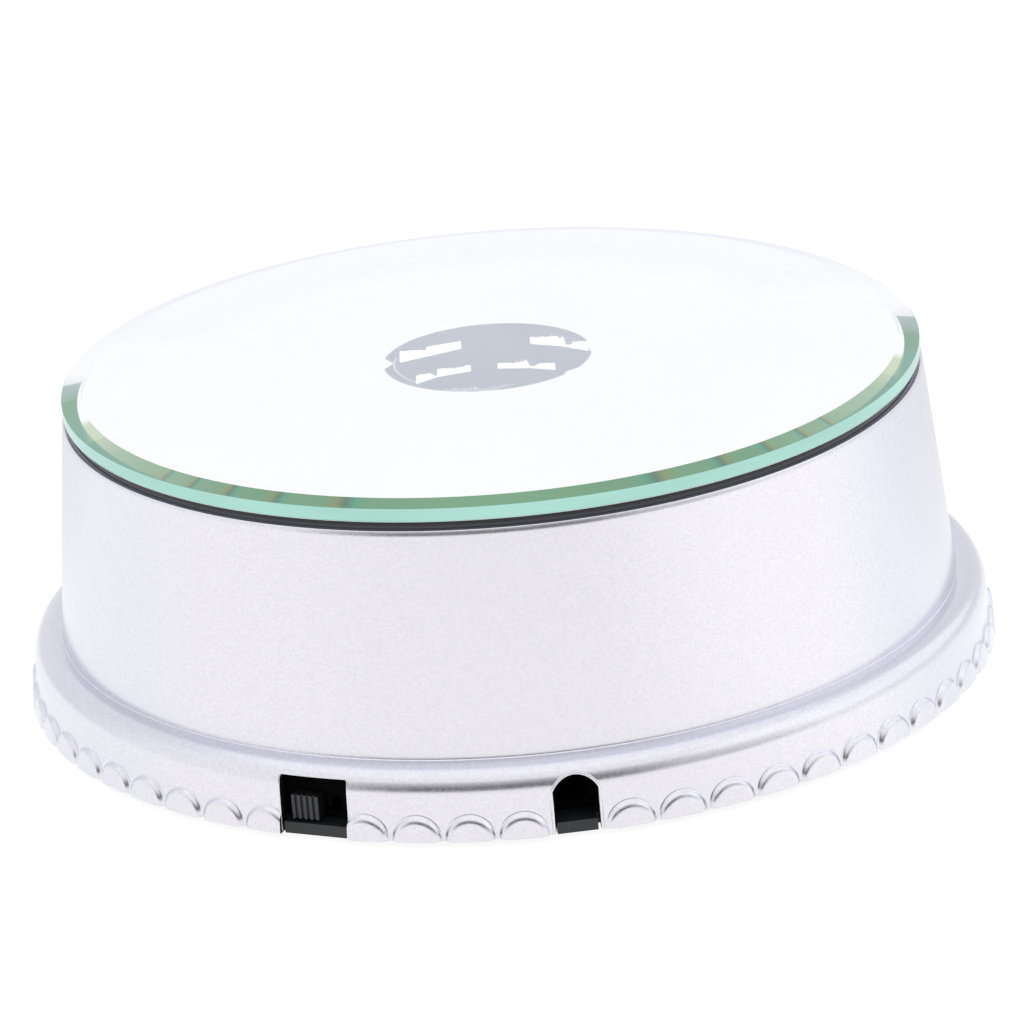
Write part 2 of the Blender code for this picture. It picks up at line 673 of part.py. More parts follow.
def build_idler(name, axle, collar=False):
    """Bored wheel with a pinion reaching through the level above and a hub below."""
    centre = GEAR_CENTRES[axle]
    z0, z1 = LEVELS[axle]
    bore = [circle(IDLER_BORE_R, 12, centre)]
    gear = wheel(name, axle, bore)
    add(gear, prism(gear_outline(PINION_N, TRAIN_M, axle),
                    z1 - WHEEL_INSET - PINION_SINK, LEVELS[axle - 1][1], bore))
    hub = circle(HUB_R, 16, centre)
    add(gear, prism(hub, HUB_BOTTOM_Z, z0 + WHEEL_INSET + HUB_SINK, bore))
    if collar:
        add(gear, prism(hub, COLLAR_Z0, COLLAR_Z1, bore))
    seat_gear(gear, axle, LEVELS[axle])


def build_motor_pinion():
    pinion = make("motor_pinion", prism(gear_outline(PINION_N, TRAIN_M, 3), *LEVELS[2]),
                  "copper", smooth=False)
    add(pinion, rod(*MOTOR_SHAFT, MOTOR_C))
    seat_gear(pinion, 3, LEVELS[2])


def build_gears():
    build_ring_gear()
    build_output_gear()
    build_idler("gear_second", 1)
    build_idler("gear_first", 2, collar=True)
    build_motor_pinion()
    make("gear_pin_second", rod(*GEAR_PIN, SECOND_C), "steel")
    make("gear_pin_first", rod(*GEAR_PIN, FIRST_C), "steel")


# ---- gearbox and motor ---------------------------------------------------------------------
LID_Z = (41.5, 43.4)
TRAY_Z = (26.4, 28.4)
CASE_POST_R, CASE_MOTOR_R = 4.2, 6.0    # rounding of the outline at the posts and motor
LID_SCREW_HOLE = (1.5, 41, 44, 8)
LID_SHAFT_HOLE = (2.7, 41, 44, 16)
LID_PIN_SOCKET = (1.1, 41, 42.9, 12)
TRAY_POST = (2.8, 27.0, 41.3, 12)
TRAY_POST_BORE = (1.5, 26.0, 42.0, 8)
TRAY_SHAFT_SOCKET = (1.65, 26.6, 29, 14)
TRAY_PIN_SOCKET = (1.1, 26.9, 29, 12)
TRAY_MOTOR_HOLE = (3.4, 26, 29, 14)
MOTOR_Z = 13.9
# (r, z): from the open bore over the nose, down the can and back up inside the bore
MOTOR = [
    (1.3, 27.4), (3.1, 27.4), (3.1, 26.3), (12.0, 26.3), (12.2, 25.8), (12.2, 14.4),
    (11.8, MOTOR_Z), (4.0, MOTOR_Z), (4.0, 13.0), (0, 13.0), (0, 23.6), (1.3, 23.6),
]


def half_hull(points):
    """One side of the convex hull of points given in order of x."""
    side = []
    for x, y in points:
        while len(side) >= 2:
            (x0, y0), (x1, y1) = side[-2:]
            if (x1 - x0) * (y - y0) - (y1 - y0) * (x - x0) > 1e-9:
                break
            side.pop()
        side.append((x, y))
    return side[:-1]


def gearbox_outline():
    """Convex outline round the posts and the motor."""
    points = circle(CASE_MOTOR_R, 16, MOTOR_C)
    for place in GEARBOX_POSTS:
        points += circle(CASE_POST_R, 16, place)
    points = sorted(set(points))
    return half_hull(points) + half_hull(points[::-1])


def build_gearbox():
    outline = gearbox_outline()
    lid = make("gearbox_lid", prism(outline, *LID_Z), "grey_plastic", smooth=False)
    for place in GEARBOX_POSTS:
        cut(lid, rod(*LID_SCREW_HOLE, place))
    cut(lid, rod(*LID_SHAFT_HOLE, OUT_C))
    for place in (SECOND_C, FIRST_C):
        cut(lid, rod(*LID_PIN_SOCKET, place))

    tray = make("gearbox_tray", prism(outline, *TRAY_Z), "grey_plastic", smooth=False)
    bored_posts(tray, GEARBOX_POSTS, TRAY_POST, TRAY_POST_BORE)
    cut(tray, rod(*TRAY_SHAFT_SOCKET, OUT_C))
    for place in (SECOND_C, FIRST_C):
        cut(tray, rod(*TRAY_PIN_SOCKET, place))
    cut(tray, rod(*TRAY_MOTOR_HOLE, MOTOR_C))
    build_screws("gearbox_screw", GEARBOX_POSTS,
                 head_z=24.9, head_h=1.3, head_r=2.2, shank_r=1.05, length=18.6)


def build_motor():
    seat(make("motor", lathe(MOTOR, 20, MOTOR_C), "steel"), *MOTOR_C, MOTOR_Z)


# ---- rollers -------------------------------------------------------------------------------
ROLLER_R, ROLLER_Z = 3.45, 50.9
# (r, distance along the axle)
ROLLER = [(1.15, -2.0), (3.1, -2.0), (ROLLER_R, -1.6), (ROLLER_R, 1.6), (3.1, 2.0), (1.15, 2.0)]
ROLLER_AXLE = (1.0, -4.0, 4.0, 10)


def build_rollers():
    for i, angle in enumerate(ROLLER_ANGLES):
        origin = (*polar(ROLLER_AT, angle), ROLLER_Z)
        for name, bm, material_name in (
            ("roller", lathe(ROLLER, 16), "nylon"),
            ("roller_axle", rod(*ROLLER_AXLE), "steel"),
        ):
            lay_radially(bm, origin, polar(1, angle))
            seat(make(f"{name}_{i + 1}", bm, material_name), *origin)


# ---- platter and mirror --------------------------------------------------------------------
PLATTER_Z0, PLATTER_Z1 = 54.50, 56.60
PLATTER_HOLE_R, PLATTER_BODY_R = 19.6, 76.0
RIM_R, RIM_Z0 = 79.0, 55.65     # black rim seen under the glass
HUB_IN_R, HUB_OUT_R, HUB_Z0 = 21.9, 25.0, 41.6
GROOVE_R, GROOVE_Z0, GROOVE_Z1 = 24.1, 42.4, 43.7   # groove round the hub for the clip
# (r, z)
PLATTER = [
    (PLATTER_HOLE_R, PLATTER_Z1), (RIM_R, PLATTER_Z1), (RIM_R, RIM_Z0),
    (PLATTER_BODY_R, RIM_Z0), (PLATTER_BODY_R, PLATTER_Z0), (HUB_OUT_R, PLATTER_Z0),
    (HUB_OUT_R, GROOVE_Z1), (GROOVE_R, GROOVE_Z1), (GROOVE_R, GROOVE_Z0),
    (HUB_OUT_R, GROOVE_Z0), (HUB_OUT_R, HUB_Z0), (HUB_IN_R, HUB_Z0), (HUB_IN_R, PLATTER_Z0),
    (PLATTER_HOLE_R, PLATTER_Z0),
]
CLIP_GAP = 9.0          # half the opening of the clip, degrees
CLIP_STEPS = 28
CLIP_IN_R, CLIP_OUT_R = 24.4, 28.6
CLIP_Z0, CLIP_Z1 = 42.5, 43.6

WINDOW_R, FILM_R = 19.4, 79.6   # clear window and outer edge of the silvering
FILM_Z0, FILM_Z1 = 56.68, 56.80
GLASS_R = 80.0
GLASS_Z0, GLASS_EDGE_Z, GLASS_Z1 = 56.90, 59.36, 60.00  # underside, top of the edge, top face
GLASS_BEVEL = 3.7       # width of the bevel
GLASS_CHAMFER = 0.3     # at the lower edge
GLASS = [
    (0, GLASS_Z0), (GLASS_R - GLASS_CHAMFER, GLASS_Z0), (GLASS_R, GLASS_Z0 + GLASS_CHAMFER),
    (GLASS_R, GLASS_EDGE_Z), (GLASS_R - GLASS_BEVEL, GLASS_Z1), (0, GLASS_Z1),
]


def build_platter():
    make("platter", lathe(PLATTER, 48), "black_gloss")
    sweep = 360 - 2 * CLIP_GAP
    steps = [sweep * k / CLIP_STEPS for k in range(CLIP_STEPS + 1)]
    clip = polars(CLIP_OUT_R, [CLIP_GAP + step for step in steps])
    clip += polars(CLIP_IN_R, [360 - CLIP_GAP - step for step in steps])
    make("hub_clip", prism(clip, CLIP_Z0, CLIP_Z1), "steel", smooth=False)


def build_mirror():
    film = [(WINDOW_R, FILM_Z0), (FILM_R, FILM_Z0), (FILM_R, FILM_Z1), (WINDOW_R, FILM_Z1)]
    make("mirror_silvering", lathe(film, 60), "mirror")
    make("glass_disc", lathe(GLASS, 72), "glass")


# ---- wiring --------------------------------------------------------------------------------
CORE_R = 0.6
CORE_ARC_STEP = math.pi * 0.42  # between the three points on each core
LEAD_STEPS = 3                  # path steps between given points
MOTOR_X, MOTOR_Y = MOTOR_C
JACK_X, JACK_Y = front(0, 70.2, JACK_AZ)

MOTOR_LEAD = [
    (11.0, -47.0, 8.6), (18.0, -38.0, 8.2), (30.0, -18.0, 7.5), (36.0, 8.0, 7.6),
    (MOTOR_X - 1, MOTOR_Y - 8, 9.0), (MOTOR_X, MOTOR_Y - 4.8, 13.6),
]
LED_LEAD = [
    (5.0, -53.0, 8.6), (4.0, -41.0, 9.4), (1.0, -22.0, 17.0), (0.0, -6.0, 28.0),
    (0.0, -0.5, 37.7),
]
POWER_LEAD = [
    (JACK_X, JACK_Y, 8.6), (JACK_X - 0.9, JACK_Y + 3.4, 9.6),
    (JACK_X - 2.6, JACK_Y + 7.5, 9.2), (JACK_X - 4.4, JACK_Y + 10.5, 8.5),
]


def smooth_path(points):
    """Catmull-Rom curve through the points."""
    knots = [Vector(point) for point in points]
    knots = [knots[0] * 2 - knots[1]] + knots + [knots[-1] * 2 - knots[-2]]
    path = []
    for k in range(1, len(knots) - 2):
        before, start, end, after = knots[k - 1:k + 3]
        for step in range(LEAD_STEPS):
            t = step / LEAD_STEPS
            path.append(0.5 * (
                2 * start + (end - before) * t
                + (2 * before - 5 * start + 4 * end - after) * t * t
                + (3 * start - before - 3 * end + after) * t ** 3
            ))
    path.append(knots[-2])
    return path


def build_lead(name, points, material_name):
    """Two-core flat lead: a figure-of-eight section swept along a smooth path."""
    path = smooth_path(points)
    section = []
    for core_x, facing in ((CORE_R, 0.0), (-CORE_R, math.pi)):
        for k in range(3):
            angle = facing + (k - 1) * CORE_ARC_STEP
            section.append((core_x + CORE_R * math.cos(angle), CORE_R * math.sin(angle)))
    bm = bmesh.new()
    side = Vector((1, 0, 0))
    rings = []
    for k, point in enumerate(path):
        ahead = (path[min(k + 1, len(path) - 1)] - path[max(k - 1, 0)]).normalized()
        side = (side - ahead * side.dot(ahead)).normalized()
        up = ahead.cross(side)
        rings.append([bm.verts.new(point + side * u + up * v) for u, v in section])
    for ring, following in zip(rings, rings[1:]):
        for k in range(len(section)):
            n = (k + 1) % len(section)
            bm.faces.new((ring[k], ring[n], following[n], following[k]))
    bm.faces.new(rings[0])
    bm.faces.new(list(reversed(rings[-1])))
    make(name, bm, material_name)


def build_wiring():
    build_lead("motor_lead", MOTOR_LEAD, "red_pvc")
    build_lead("led_lead", LED_LEAD, "black_pvc")
    build_lead("power_lead", POWER_LEAD, "black_pvc")


clear_scene()
build_housing()
build_base_plate()
build_feet()
build_switch()
build_jack()
build_control_board()
build_light_well()
build_tapes()
build_gears()
build_gearbox()
build_motor()
build_rollers()
build_platter()
build_mirror()
build_wiring()
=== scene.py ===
"""Mirror-topped display turntable: painted casing, bevelled glass, window, switch and socket.

Shapes are in millimetres in the CAD frame (+Z up, -Y front, platter axis on Z) and scaled to
metres; shaders and stage are in metres. Azimuths run in degrees from -Y towards +X, polar
angles from +X towards +Y.
"""

import json
import math

import bmesh
import bpy
from mathutils import Matrix, Vector
from mathutils.geometry import tessellate_polygon


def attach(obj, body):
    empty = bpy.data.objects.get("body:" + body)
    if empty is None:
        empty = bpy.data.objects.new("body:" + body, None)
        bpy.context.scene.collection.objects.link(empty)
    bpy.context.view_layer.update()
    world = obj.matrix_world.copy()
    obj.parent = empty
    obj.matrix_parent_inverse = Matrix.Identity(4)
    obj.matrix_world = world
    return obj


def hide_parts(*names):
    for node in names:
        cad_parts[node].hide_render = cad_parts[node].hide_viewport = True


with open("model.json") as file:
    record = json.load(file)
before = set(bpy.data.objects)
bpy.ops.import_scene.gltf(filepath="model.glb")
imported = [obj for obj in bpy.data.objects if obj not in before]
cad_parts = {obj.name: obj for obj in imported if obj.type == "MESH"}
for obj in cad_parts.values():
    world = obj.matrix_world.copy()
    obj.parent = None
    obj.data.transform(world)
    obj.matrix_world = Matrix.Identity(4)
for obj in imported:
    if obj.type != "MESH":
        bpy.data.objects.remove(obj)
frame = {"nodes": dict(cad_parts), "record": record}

MM = 0.001
TAU = 2 * math.pi
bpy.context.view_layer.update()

VIEW_AZ = 9.4                   # azimuth of the camera; window details are laid out facing it
VIEW_COS, VIEW_SIN = math.cos(math.radians(VIEW_AZ)), math.sin(math.radians(VIEW_AZ))
VIEW_RIGHT = (VIEW_COS, VIEW_SIN)
VIEW_AWAY = (-VIEW_SIN, VIEW_COS)
WINDOW_CENTRE = (-0.35, 1.3)    # facing the view: left of the axis and beyond it


def cosine(deg):
    return math.cos(math.radians(deg))


def sine(deg):
    return math.sin(math.radians(deg))


def facing(x, y):
    """Turn a plan point laid out facing the view into the CAD frame."""
    return (x * VIEW_COS - y * VIEW_SIN, x * VIEW_SIN + y * VIEW_COS)


# ==============================================================================================
# node building
# ==============================================================================================
class Nodes:
    """Short-hand for building a node tree."""

    def __init__(self, tree):
        self.tree = tree

    def set(self, socket, value):
        """Link a socket to an input, or give the input a plain value."""
        if isinstance(value, bpy.types.NodeSocket):
            self.tree.links.new(value, socket)
        elif isinstance(value, (tuple, list)) and len(value) == 3 and socket.type == "RGBA":
            socket.default_value = (*value, 1.0)
        else:
            socket.default_value = value

    def node(self, kind, **inputs):
        node = self.tree.nodes.new(kind)
        for key, value in inputs.items():
            self.set(node.inputs[key.replace("_", " ")], value)
        return node

    def math(self, operation, *values):
        """Math node; inputs left out are zero."""
        node = self.node("ShaderNodeMath")
        node.operation = operation
        for socket, value in zip(node.inputs, (*values, 0.0, 0.0)):
            self.set(socket, value)
        return node.outputs[0]

    def add(self, first, second):
        return self.math("ADD", first, second)

    def sub(self, first, second):
        return self.math("SUBTRACT", first, second)

    def div(self, first, second):
        return self.math("DIVIDE", first, second)

    def mul(self, product, *factors):
        for factor in factors:
            product = self.math("MULTIPLY", product, factor)
        return product

    def dot(self, first, second):
        """Dot product of the X and Y parts."""
        return self.add(self.mul(first[0], second[0]), self.mul(first[1], second[1]))

    def length(self, vector):
        """Length of the X and Y parts."""
        return self.math("SQRT", self.dot(vector, vector))

    def xyz(self, vector):
        return self.node("ShaderNodeSeparateXYZ", Vector=vector).outputs

    def geometry(self):
        return self.node("ShaderNodeNewGeometry").outputs

    def light_path(self):
        return self.node("ShaderNodeLightPath").outputs

    def ramp(self, value, span, to=(0.0, 1.0), smooth=False):
        """Map span onto to, clamped at both ends."""
        node = self.node("ShaderNodeMapRange", Value=value, From_Min=span[0], From_Max=span[1],
                         To_Min=to[0], To_Max=to[1])
        node.interpolation_type = "SMOOTHSTEP" if smooth else "LINEAR"
        return node.outputs[0]

    def mix(self, factor, first, second, blend="MIX"):
        node = self.node("ShaderNodeMix")
        node.data_type = "RGBA"
        node.blend_type = blend
        for index, value in ((0, factor), (6, first), (7, second)):
            self.set(node.inputs[index], value)
        return node.outputs[2]

    def mix_shader(self, factor, first, second):
        node = self.node("ShaderNodeMixShader")
        for index, value in enumerate((factor, first, second)):
            self.set(node.inputs[index], value)
        return node.outputs[0]

    def colour_ramp(self, factor, stops):
        """Stops are (position, colour), in rising order."""
        node = self.node("ShaderNodeValToRGB")
        elements = node.color_ramp.elements
        for element, (position, colour) in ((elements[0], stops[0]), (elements[1], stops[-1])):
            element.position, element.color = position, (*colour, 1.0)
        for position, colour in stops[1:-1]:
            elements.new(position).color = (*colour, 1.0)
        self.set(node.inputs[0], factor)
        return node.outputs[0]


class Material(Nodes):
    """A new material with its Principled shader and object coordinates to hand."""

    def __init__(self, name):
        self.block = bpy.data.materials.new(name)
        self.block.use_nodes = True
        super().__init__(self.block.node_tree)
        self.bsdf = self.tree.nodes["Principled BSDF"]
        self.out = self.tree.nodes["Material Output"]
        self.coord = self.node("ShaderNodeTexCoord").outputs["Object"]

    def noise(self, scale, detail=2.0, rough=0.5, coord=None):
        return self.node("ShaderNodeTexNoise", Vector=coord or self.coord, Scale=scale,
                         Detail=detail, Roughness=rough).outputs[0]

    def bump(self, height, strength, distance=0.0001, **more):
        return self.node("ShaderNodeBump", Height=height, Strength=strength,
                         Distance=distance, **more).outputs[0]

    def shade(self, **inputs):
        for key, value in inputs.items():
            self.set(self.bsdf.inputs[key.replace("_", " ")], value)
        return self.block

    def surface(self, shader):
        self.set(self.out.inputs["Surface"], shader)


# ==============================================================================================
# materials
# ==============================================================================================
SILVER_DARK = (0.736, 0.726, 0.768)
SILVER_LIGHT = (0.822, 0.808, 0.848)
SILVER_CLOUD = (0.79, 0.777, 0.81)
# painted shade, multiplied into the silver where a surface turns from the viewer, to the left and
# to the right; darker on the right
SIDE_SHADE_LEFT, SIDE_SHADE_RIGHT = (0.965, 0.99, 1.02), (0.900, 0.918, 0.962)


def silver_paint():
    """Sprayed metallic silver: flakes that catch the light one by one, faint orange peel, and
    painted shade where a surface turns from the viewer.
    """
    mat = Material("silver_paint_fine")
    cells = mat.node("ShaderNodeTexVoronoi", Vector=mat.coord, Scale=3000.0)
    flake = mat.xyz(cells.outputs["Color"])[0]
    drift = mat.noise(scale=30.0, detail=3.0)
    fine = mat.noise(scale=1300.0, rough=0.6)
    tone = mat.mix(mat.ramp(flake, span=(0.0, 1.0)), SILVER_DARK, SILVER_LIGHT)
    tone = mat.mix(mat.ramp(drift, span=(0.35, 0.7), to=(0.0, 0.3)), tone, SILVER_CLOUD)
    geometry = mat.geometry()
    normal = mat.xyz(geometry["Normal"])
    incoming = mat.xyz(geometry["Incoming"])
    level = mat.math("ABSOLUTE", mat.dot(normal, incoming))
    turn = mat.sub(mat.mul(normal[1], incoming[0]), mat.mul(normal[0], incoming[1]))
    # painted shade on faces turned from the viewer, darker to the right than to the left
    side_shade = mat.mix(mat.ramp(turn, span=(-0.3, 0.3)), SIDE_SHADE_LEFT, SIDE_SHADE_RIGHT)
    tone = mat.mix(mat.ramp(level, span=(0.66, 0.40), smooth=True), tone,
                   mat.mix(1.0, tone, side_shade, "MULTIPLY"))
    rough = mat.add(mat.ramp(fine, span=(0.2, 0.8), to=(0.185, 0.235)),
                    mat.ramp(flake, span=(0.0, 1.0), to=(-0.02, 0.02)))
    peel = mat.bump(mat.noise(scale=300.0), strength=0.03)
    grain = mat.bump(flake, strength=0.05, distance=0.00001, Normal=peel)
    return mat.shade(Base_Color=tone, Metallic=0.94, Roughness=rough, Normal=grain)


def shades(colour, vary):
    """A darker and a lighter version of a colour."""
    return (tuple(c * (1 - vary) for c in colour), tuple(min(1.0, c * (1 + vary)) for c in colour))


def plastic(name, colour, rough, grain=900.0, depth=0.08, vary=0.25, **more):
    """Moulded plastic with a fine spark-eroded grain and slightly uneven gloss."""
    mat = Material(name)
    clouds = mat.ramp(mat.noise(scale=120.0, detail=3.0), span=(0.3, 0.7))
    tone = mat.mix(clouds, *shades(colour, vary))
    gloss = mat.ramp(mat.noise(scale=grain * 0.4), span=(0.3, 0.7),
                     to=(rough * 0.85, min(1.0, rough * 1.2)))
    texture = mat.bump(mat.noise(scale=grain, detail=3.0), strength=depth)
    return mat.shade(Base_Color=tone, Roughness=gloss, Normal=texture, **more)


def metal(name, colour, rough):
    """Metal with streaks that are fine along Z."""
    mat = Material(name)
    stretched = mat.node("ShaderNodeMapping", Vector=mat.coord, Scale=(1.0, 1.0, 30.0))
    lines = mat.noise(scale=160.0, detail=4.0, rough=0.6, coord=stretched.outputs[0])
    tone = mat.mix(lines, *shades(colour, vary=0.12))
    gloss = mat.ramp(lines, span=(0.2, 0.8), to=(rough * 0.7, rough * 1.3))
    return mat.shade(Base_Color=tone, Metallic=1.0, Roughness=gloss,
                     Normal=mat.bump(lines, strength=0.05))


GLASS_IOR = 1.52
STEEPEST = 0.7535       # cosine, from the upright, of the ray that can just leave a level face

# painted glow for light trapped in the glass: (cosine from the upright, colour)
TRAPPED_TONES = [
    (0.0, (0.43, 0.73, 0.655)), (0.28, (0.43, 0.73, 0.655)), (0.42, (0.20, 0.41, 0.34)),
    (0.66, (0.19, 0.39, 0.31)), (0.704, (0.168, 0.35, 0.205)), (0.712, (0.165, 0.345, 0.20)),
    (0.722, (0.15, 0.325, 0.19)), (0.735, (0.285, 0.445, 0.30)), (0.746, (0.38, 0.54, 0.40)),
    (STEEPEST, (0.54, 0.645, 0.46)), (1.0, (0.54, 0.645, 0.46))]
# painted colour bars in the glow: (middle, half width) by the sine between the radius and the ray
# in plan
BARS = ((0.350, 0.050), (0.503, 0.030), (0.609, 0.021), (0.693, 0.015), (0.755, 0.011))
# colours across one painted bar: (offset in half widths, colour)
BAR_COLOURS = ((-1.0, (1, 1, 1)), (-0.50, (0.60, 1.02, 1.14)), (-0.05, (0.62, 0.58, 0.72)),
               (0.38, (1.36, 0.88, 0.66)), (1.0, (1, 1, 1)))


def glass(name, wave=0.0):
    """Clear float glass with a green body; wave is the strength of a gentle unevenness."""
    mat = Material(name)
    smear = mat.noise(scale=22.0, detail=3.0)
    if wave:
        mat.shade(Normal=mat.bump(mat.noise(scale=34.0), strength=wave, distance=0.001))
    mat.shade(Base_Color=(1.0, 1.0, 1.0), Transmission_Weight=1.0, IOR=GLASS_IOR,
              Roughness=mat.ramp(smear, span=(0.3, 0.75), to=(0.0, 0.006)))
    body = mat.node("ShaderNodeVolumeAbsorption", Color=(0.17, 0.70, 0.50), Density=4.0)
    mat.set(mat.out.inputs["Volume"], body.outputs[0])
    return mat


def add_painted_reflection(mat, geometry, far, colour):
    """Where far is set, the camera sees a flat pale colour on the outside of the glass: a painted
    reflection of the pale room, given as an emission.
    """
    far = mat.mul(far, mat.light_path()["Is Camera Ray"], mat.sub(1.0, geometry["Backfacing"]))
    pale = mat.node("ShaderNodeEmission", Color=colour, Strength=1.0)
    under = mat.out.inputs["Surface"].links[0].from_socket
    mat.surface(mat.mix_shader(far, under, pale.outputs[0]))


def bevel_glass():
    """Ground slope; on the far side, seen nearly end-on, it shows a painted reflection of the pale
    room.
    """
    mat = glass("ground_bevel", wave=0.02)
    geometry = mat.geometry()
    level = mat.dot(mat.xyz(geometry["True Normal"]), mat.xyz(geometry["Incoming"]))
    far = mat.ramp(level, span=(-0.020, -0.034))
    # colour of the painted reflection, darker and bluer where the slope turns further away
    colour = mat.mix(mat.ramp(level, span=(-0.05, -0.13)),
                     (0.965, 0.968, 0.985), (0.875, 0.880, 0.958))
    add_painted_reflection(mat, geometry, far, colour)
    return mat.block


def painted_trapped_light_glass(name):
    """Glass whose inner side keeps light that meets it too flat to leave: what comes back is a
    painted glow, the green of a long path, with faint painted colour bars where the far edge is
    seen in turn."""
    mat = glass(name)
    geometry = mat.geometry()
    incoming = mat.xyz(geometry["Incoming"])
    position = mat.xyz(geometry["Position"])
    upright = mat.math("ABSOLUTE", incoming[2])
    radius = mat.length(position)
    flat = mat.length(incoming)
    cross = mat.sub(mat.mul(position[0], incoming[1]), mat.mul(position[1], incoming[0]))
    side = mat.div(mat.math("ABSOLUTE", cross), mat.mul(radius, flat))
    # the bars shift with the distance from radius 75.5 mm
    side = mat.sub(side, mat.mul(mat.sub(0.0755, radius), 2.6))
    bars = [(mid + offset * half, colour) for mid, half in BARS for offset, colour in BAR_COLOURS]
    bars = [(0.0, (1, 1, 1)), *bars, (1.0, (1, 1, 1))]
    tone = mat.colour_ramp(upright, TRAPPED_TONES)
    steep = mat.ramp(upright, span=(0.66, 0.69))
    banded = mat.mix(1.0, tone, mat.colour_ramp(side, bars), "MULTIPLY")
    barred = mat.mix(steep, tone, banded)
    uneven = mat.ramp(mat.noise(scale=45.0), span=(0.3, 0.7), to=(0.94, 1.06))
    # painted glow standing in for the light trapped in the glass, with its painted colour bars
    glow = mat.node("ShaderNodeEmission", Color=barred, Strength=uneven)
    leave = mat.node("ShaderNodeBsdfRefraction", Color=(1.0, 1.0, 1.0), Roughness=0.0,
                     IOR=GLASS_IOR)
    inner = mat.mix_shader(mat.math("LESS_THAN", upright, STEEPEST),
                           leave.outputs[0], glow.outputs[0])
    mat.surface(mat.mix_shader(geometry["Backfacing"], mat.bsdf.outputs[0], inner))
    return mat


def top_glass():
    """Level top face, with a painted pale reflection in the narrow strip along its far side."""
    mat = painted_trapped_light_glass("polished_top")
    geometry = mat.geometry()
    incoming = mat.xyz(geometry["Incoming"])
    position = mat.xyz(geometry["Position"])
    radius = mat.length(position)
    along_view = mat.div(mat.dot(position, incoming), radius)
    # painted reflection along the far side of the top face
    far = mat.mul(mat.ramp(along_view, span=(-0.35, -0.55)),
                  mat.ramp(radius, span=(0.050, 0.0715), smooth=True))
    add_painted_reflection(mat, geometry, far, (0.955, 0.962, 0.99))
    return mat.block


def rim_plastic():
    """Gloss black of the platter's rim, greyer towards its lower edge with a painted reflection of
    the silver drum.
    """
    mat = Material("platter_black")
    # painted reflection of the silver drum: an emission along the rim's lower edge
    low = mat.ramp(mat.xyz(mat.coord)[2], span=(0.0560, 0.0554))
    grain = mat.noise(scale=500.0, detail=3.0)
    tone = mat.mix(mat.ramp(grain, span=(0.3, 0.7)),
                   (0.016, 0.0165, 0.0185), (0.024, 0.0245, 0.027))
    return mat.shade(Base_Color=tone, Roughness=0.26, Emission_Color=(0.050, 0.052, 0.062),
                     Emission_Strength=low, Normal=mat.bump(grain, strength=0.03),
                     Specular_IOR_Level=0.36)


def silvering():
    mat = Material("silvering")
    haze = mat.noise(scale=30.0, detail=4.0)
    tone = mat.mix(mat.ramp(haze, span=(0.3, 0.7)), (0.975, 0.978, 0.985), (0.99, 0.99, 0.99))
    return mat.shade(Base_Color=tone, Metallic=1.0,
                     Roughness=mat.ramp(haze, span=(0.3, 0.7), to=(0.0, 0.01)))


def frosted():
    """Grey-white translucent disc with a faint painted glow; painted shade towards its front edge,
    a thin painted highlight of a rim on its left and painted highlights of the LED domes near its
    front edge.
    """
    mat = Material("frosted_disc")
    x, y, z = mat.xyz(mat.coord)
    centre_x, centre_y = facing(*WINDOW_CENTRE)
    x, y = mat.sub(x, centre_x / 1000.0), mat.sub(y, centre_y / 1000.0)
    mottled = mat.noise(scale=260.0, detail=3.0)
    cloud = mat.noise(scale=60.0)
    tone = mat.mix(mat.ramp(mottled, span=(0.3, 0.7)),
                   (0.615, 0.605, 0.75), (0.655, 0.645, 0.795))
    tone = mat.mix(mat.ramp(cloud, span=(0.35, 0.7), to=(0.0, 0.6)), tone, (0.73, 0.715, 0.87))
    # painted shade: darker and bluer towards the front edge
    tone = mat.mix(mat.ramp(y, span=(0.004, -0.019), to=(0.0, 0.55)), tone, (0.56, 0.59, 0.70))
    # direction from the window's centre, as the sine to the right and beyond
    radius = mat.length((x, y))
    across = mat.div(mat.dot((x, y), VIEW_RIGHT), radius)
    beyond = mat.div(mat.sub(mat.mul(y, VIEW_COS), mat.mul(x, VIEW_SIN)), radius)
    # painted highlight: a thin arc on the window's left, along a rim of radius 17.5 mm
    off_rim = mat.math("ABSOLUTE", mat.sub(radius, 0.0175))
    rim_highlight = mat.mul(mat.ramp(off_rim, span=(0.00009, 0.00018), to=(1.0, 0.0)),
                   mat.ramp(across, span=(-0.72, -0.78)),
                   mat.ramp(beyond, span=(0.20, 0.26), to=(1.0, 0.0)))
    # painted highlights of the LED domes: small specks near the front edge
    grit = mat.ramp(mat.noise(scale=1500.0, rough=0.6), span=(0.55, 0.62))
    patch = mat.mul(mat.ramp(mat.mul(radius, beyond), span=(-0.0158, -0.0170)),
                    mat.ramp(mat.math("ABSOLUTE", mat.add(across, 0.1)), span=(0.5, 0.3)),
                    mat.ramp(mat.noise(scale=330.0, detail=1.0), span=(0.48, 0.56)))
    led_glints = mat.mul(mat.math("MAXIMUM", grit, 0.22), patch)
    pale = mat.math("MAXIMUM", mat.mul(rim_highlight, 0.8), led_glints)
    # painted glow over the whole disc, brighter at the painted highlights
    glow = mat.mix(pale, (0.058, 0.052, 0.095), (0.44, 0.40, 0.48))
    return mat.shade(Base_Color=mat.mix(pale, tone, (0.95, 0.92, 0.99)), Roughness=0.5,
                     Emission_Color=glow, Emission_Strength=1.0,
                     Normal=mat.bump(mottled, strength=0.05))


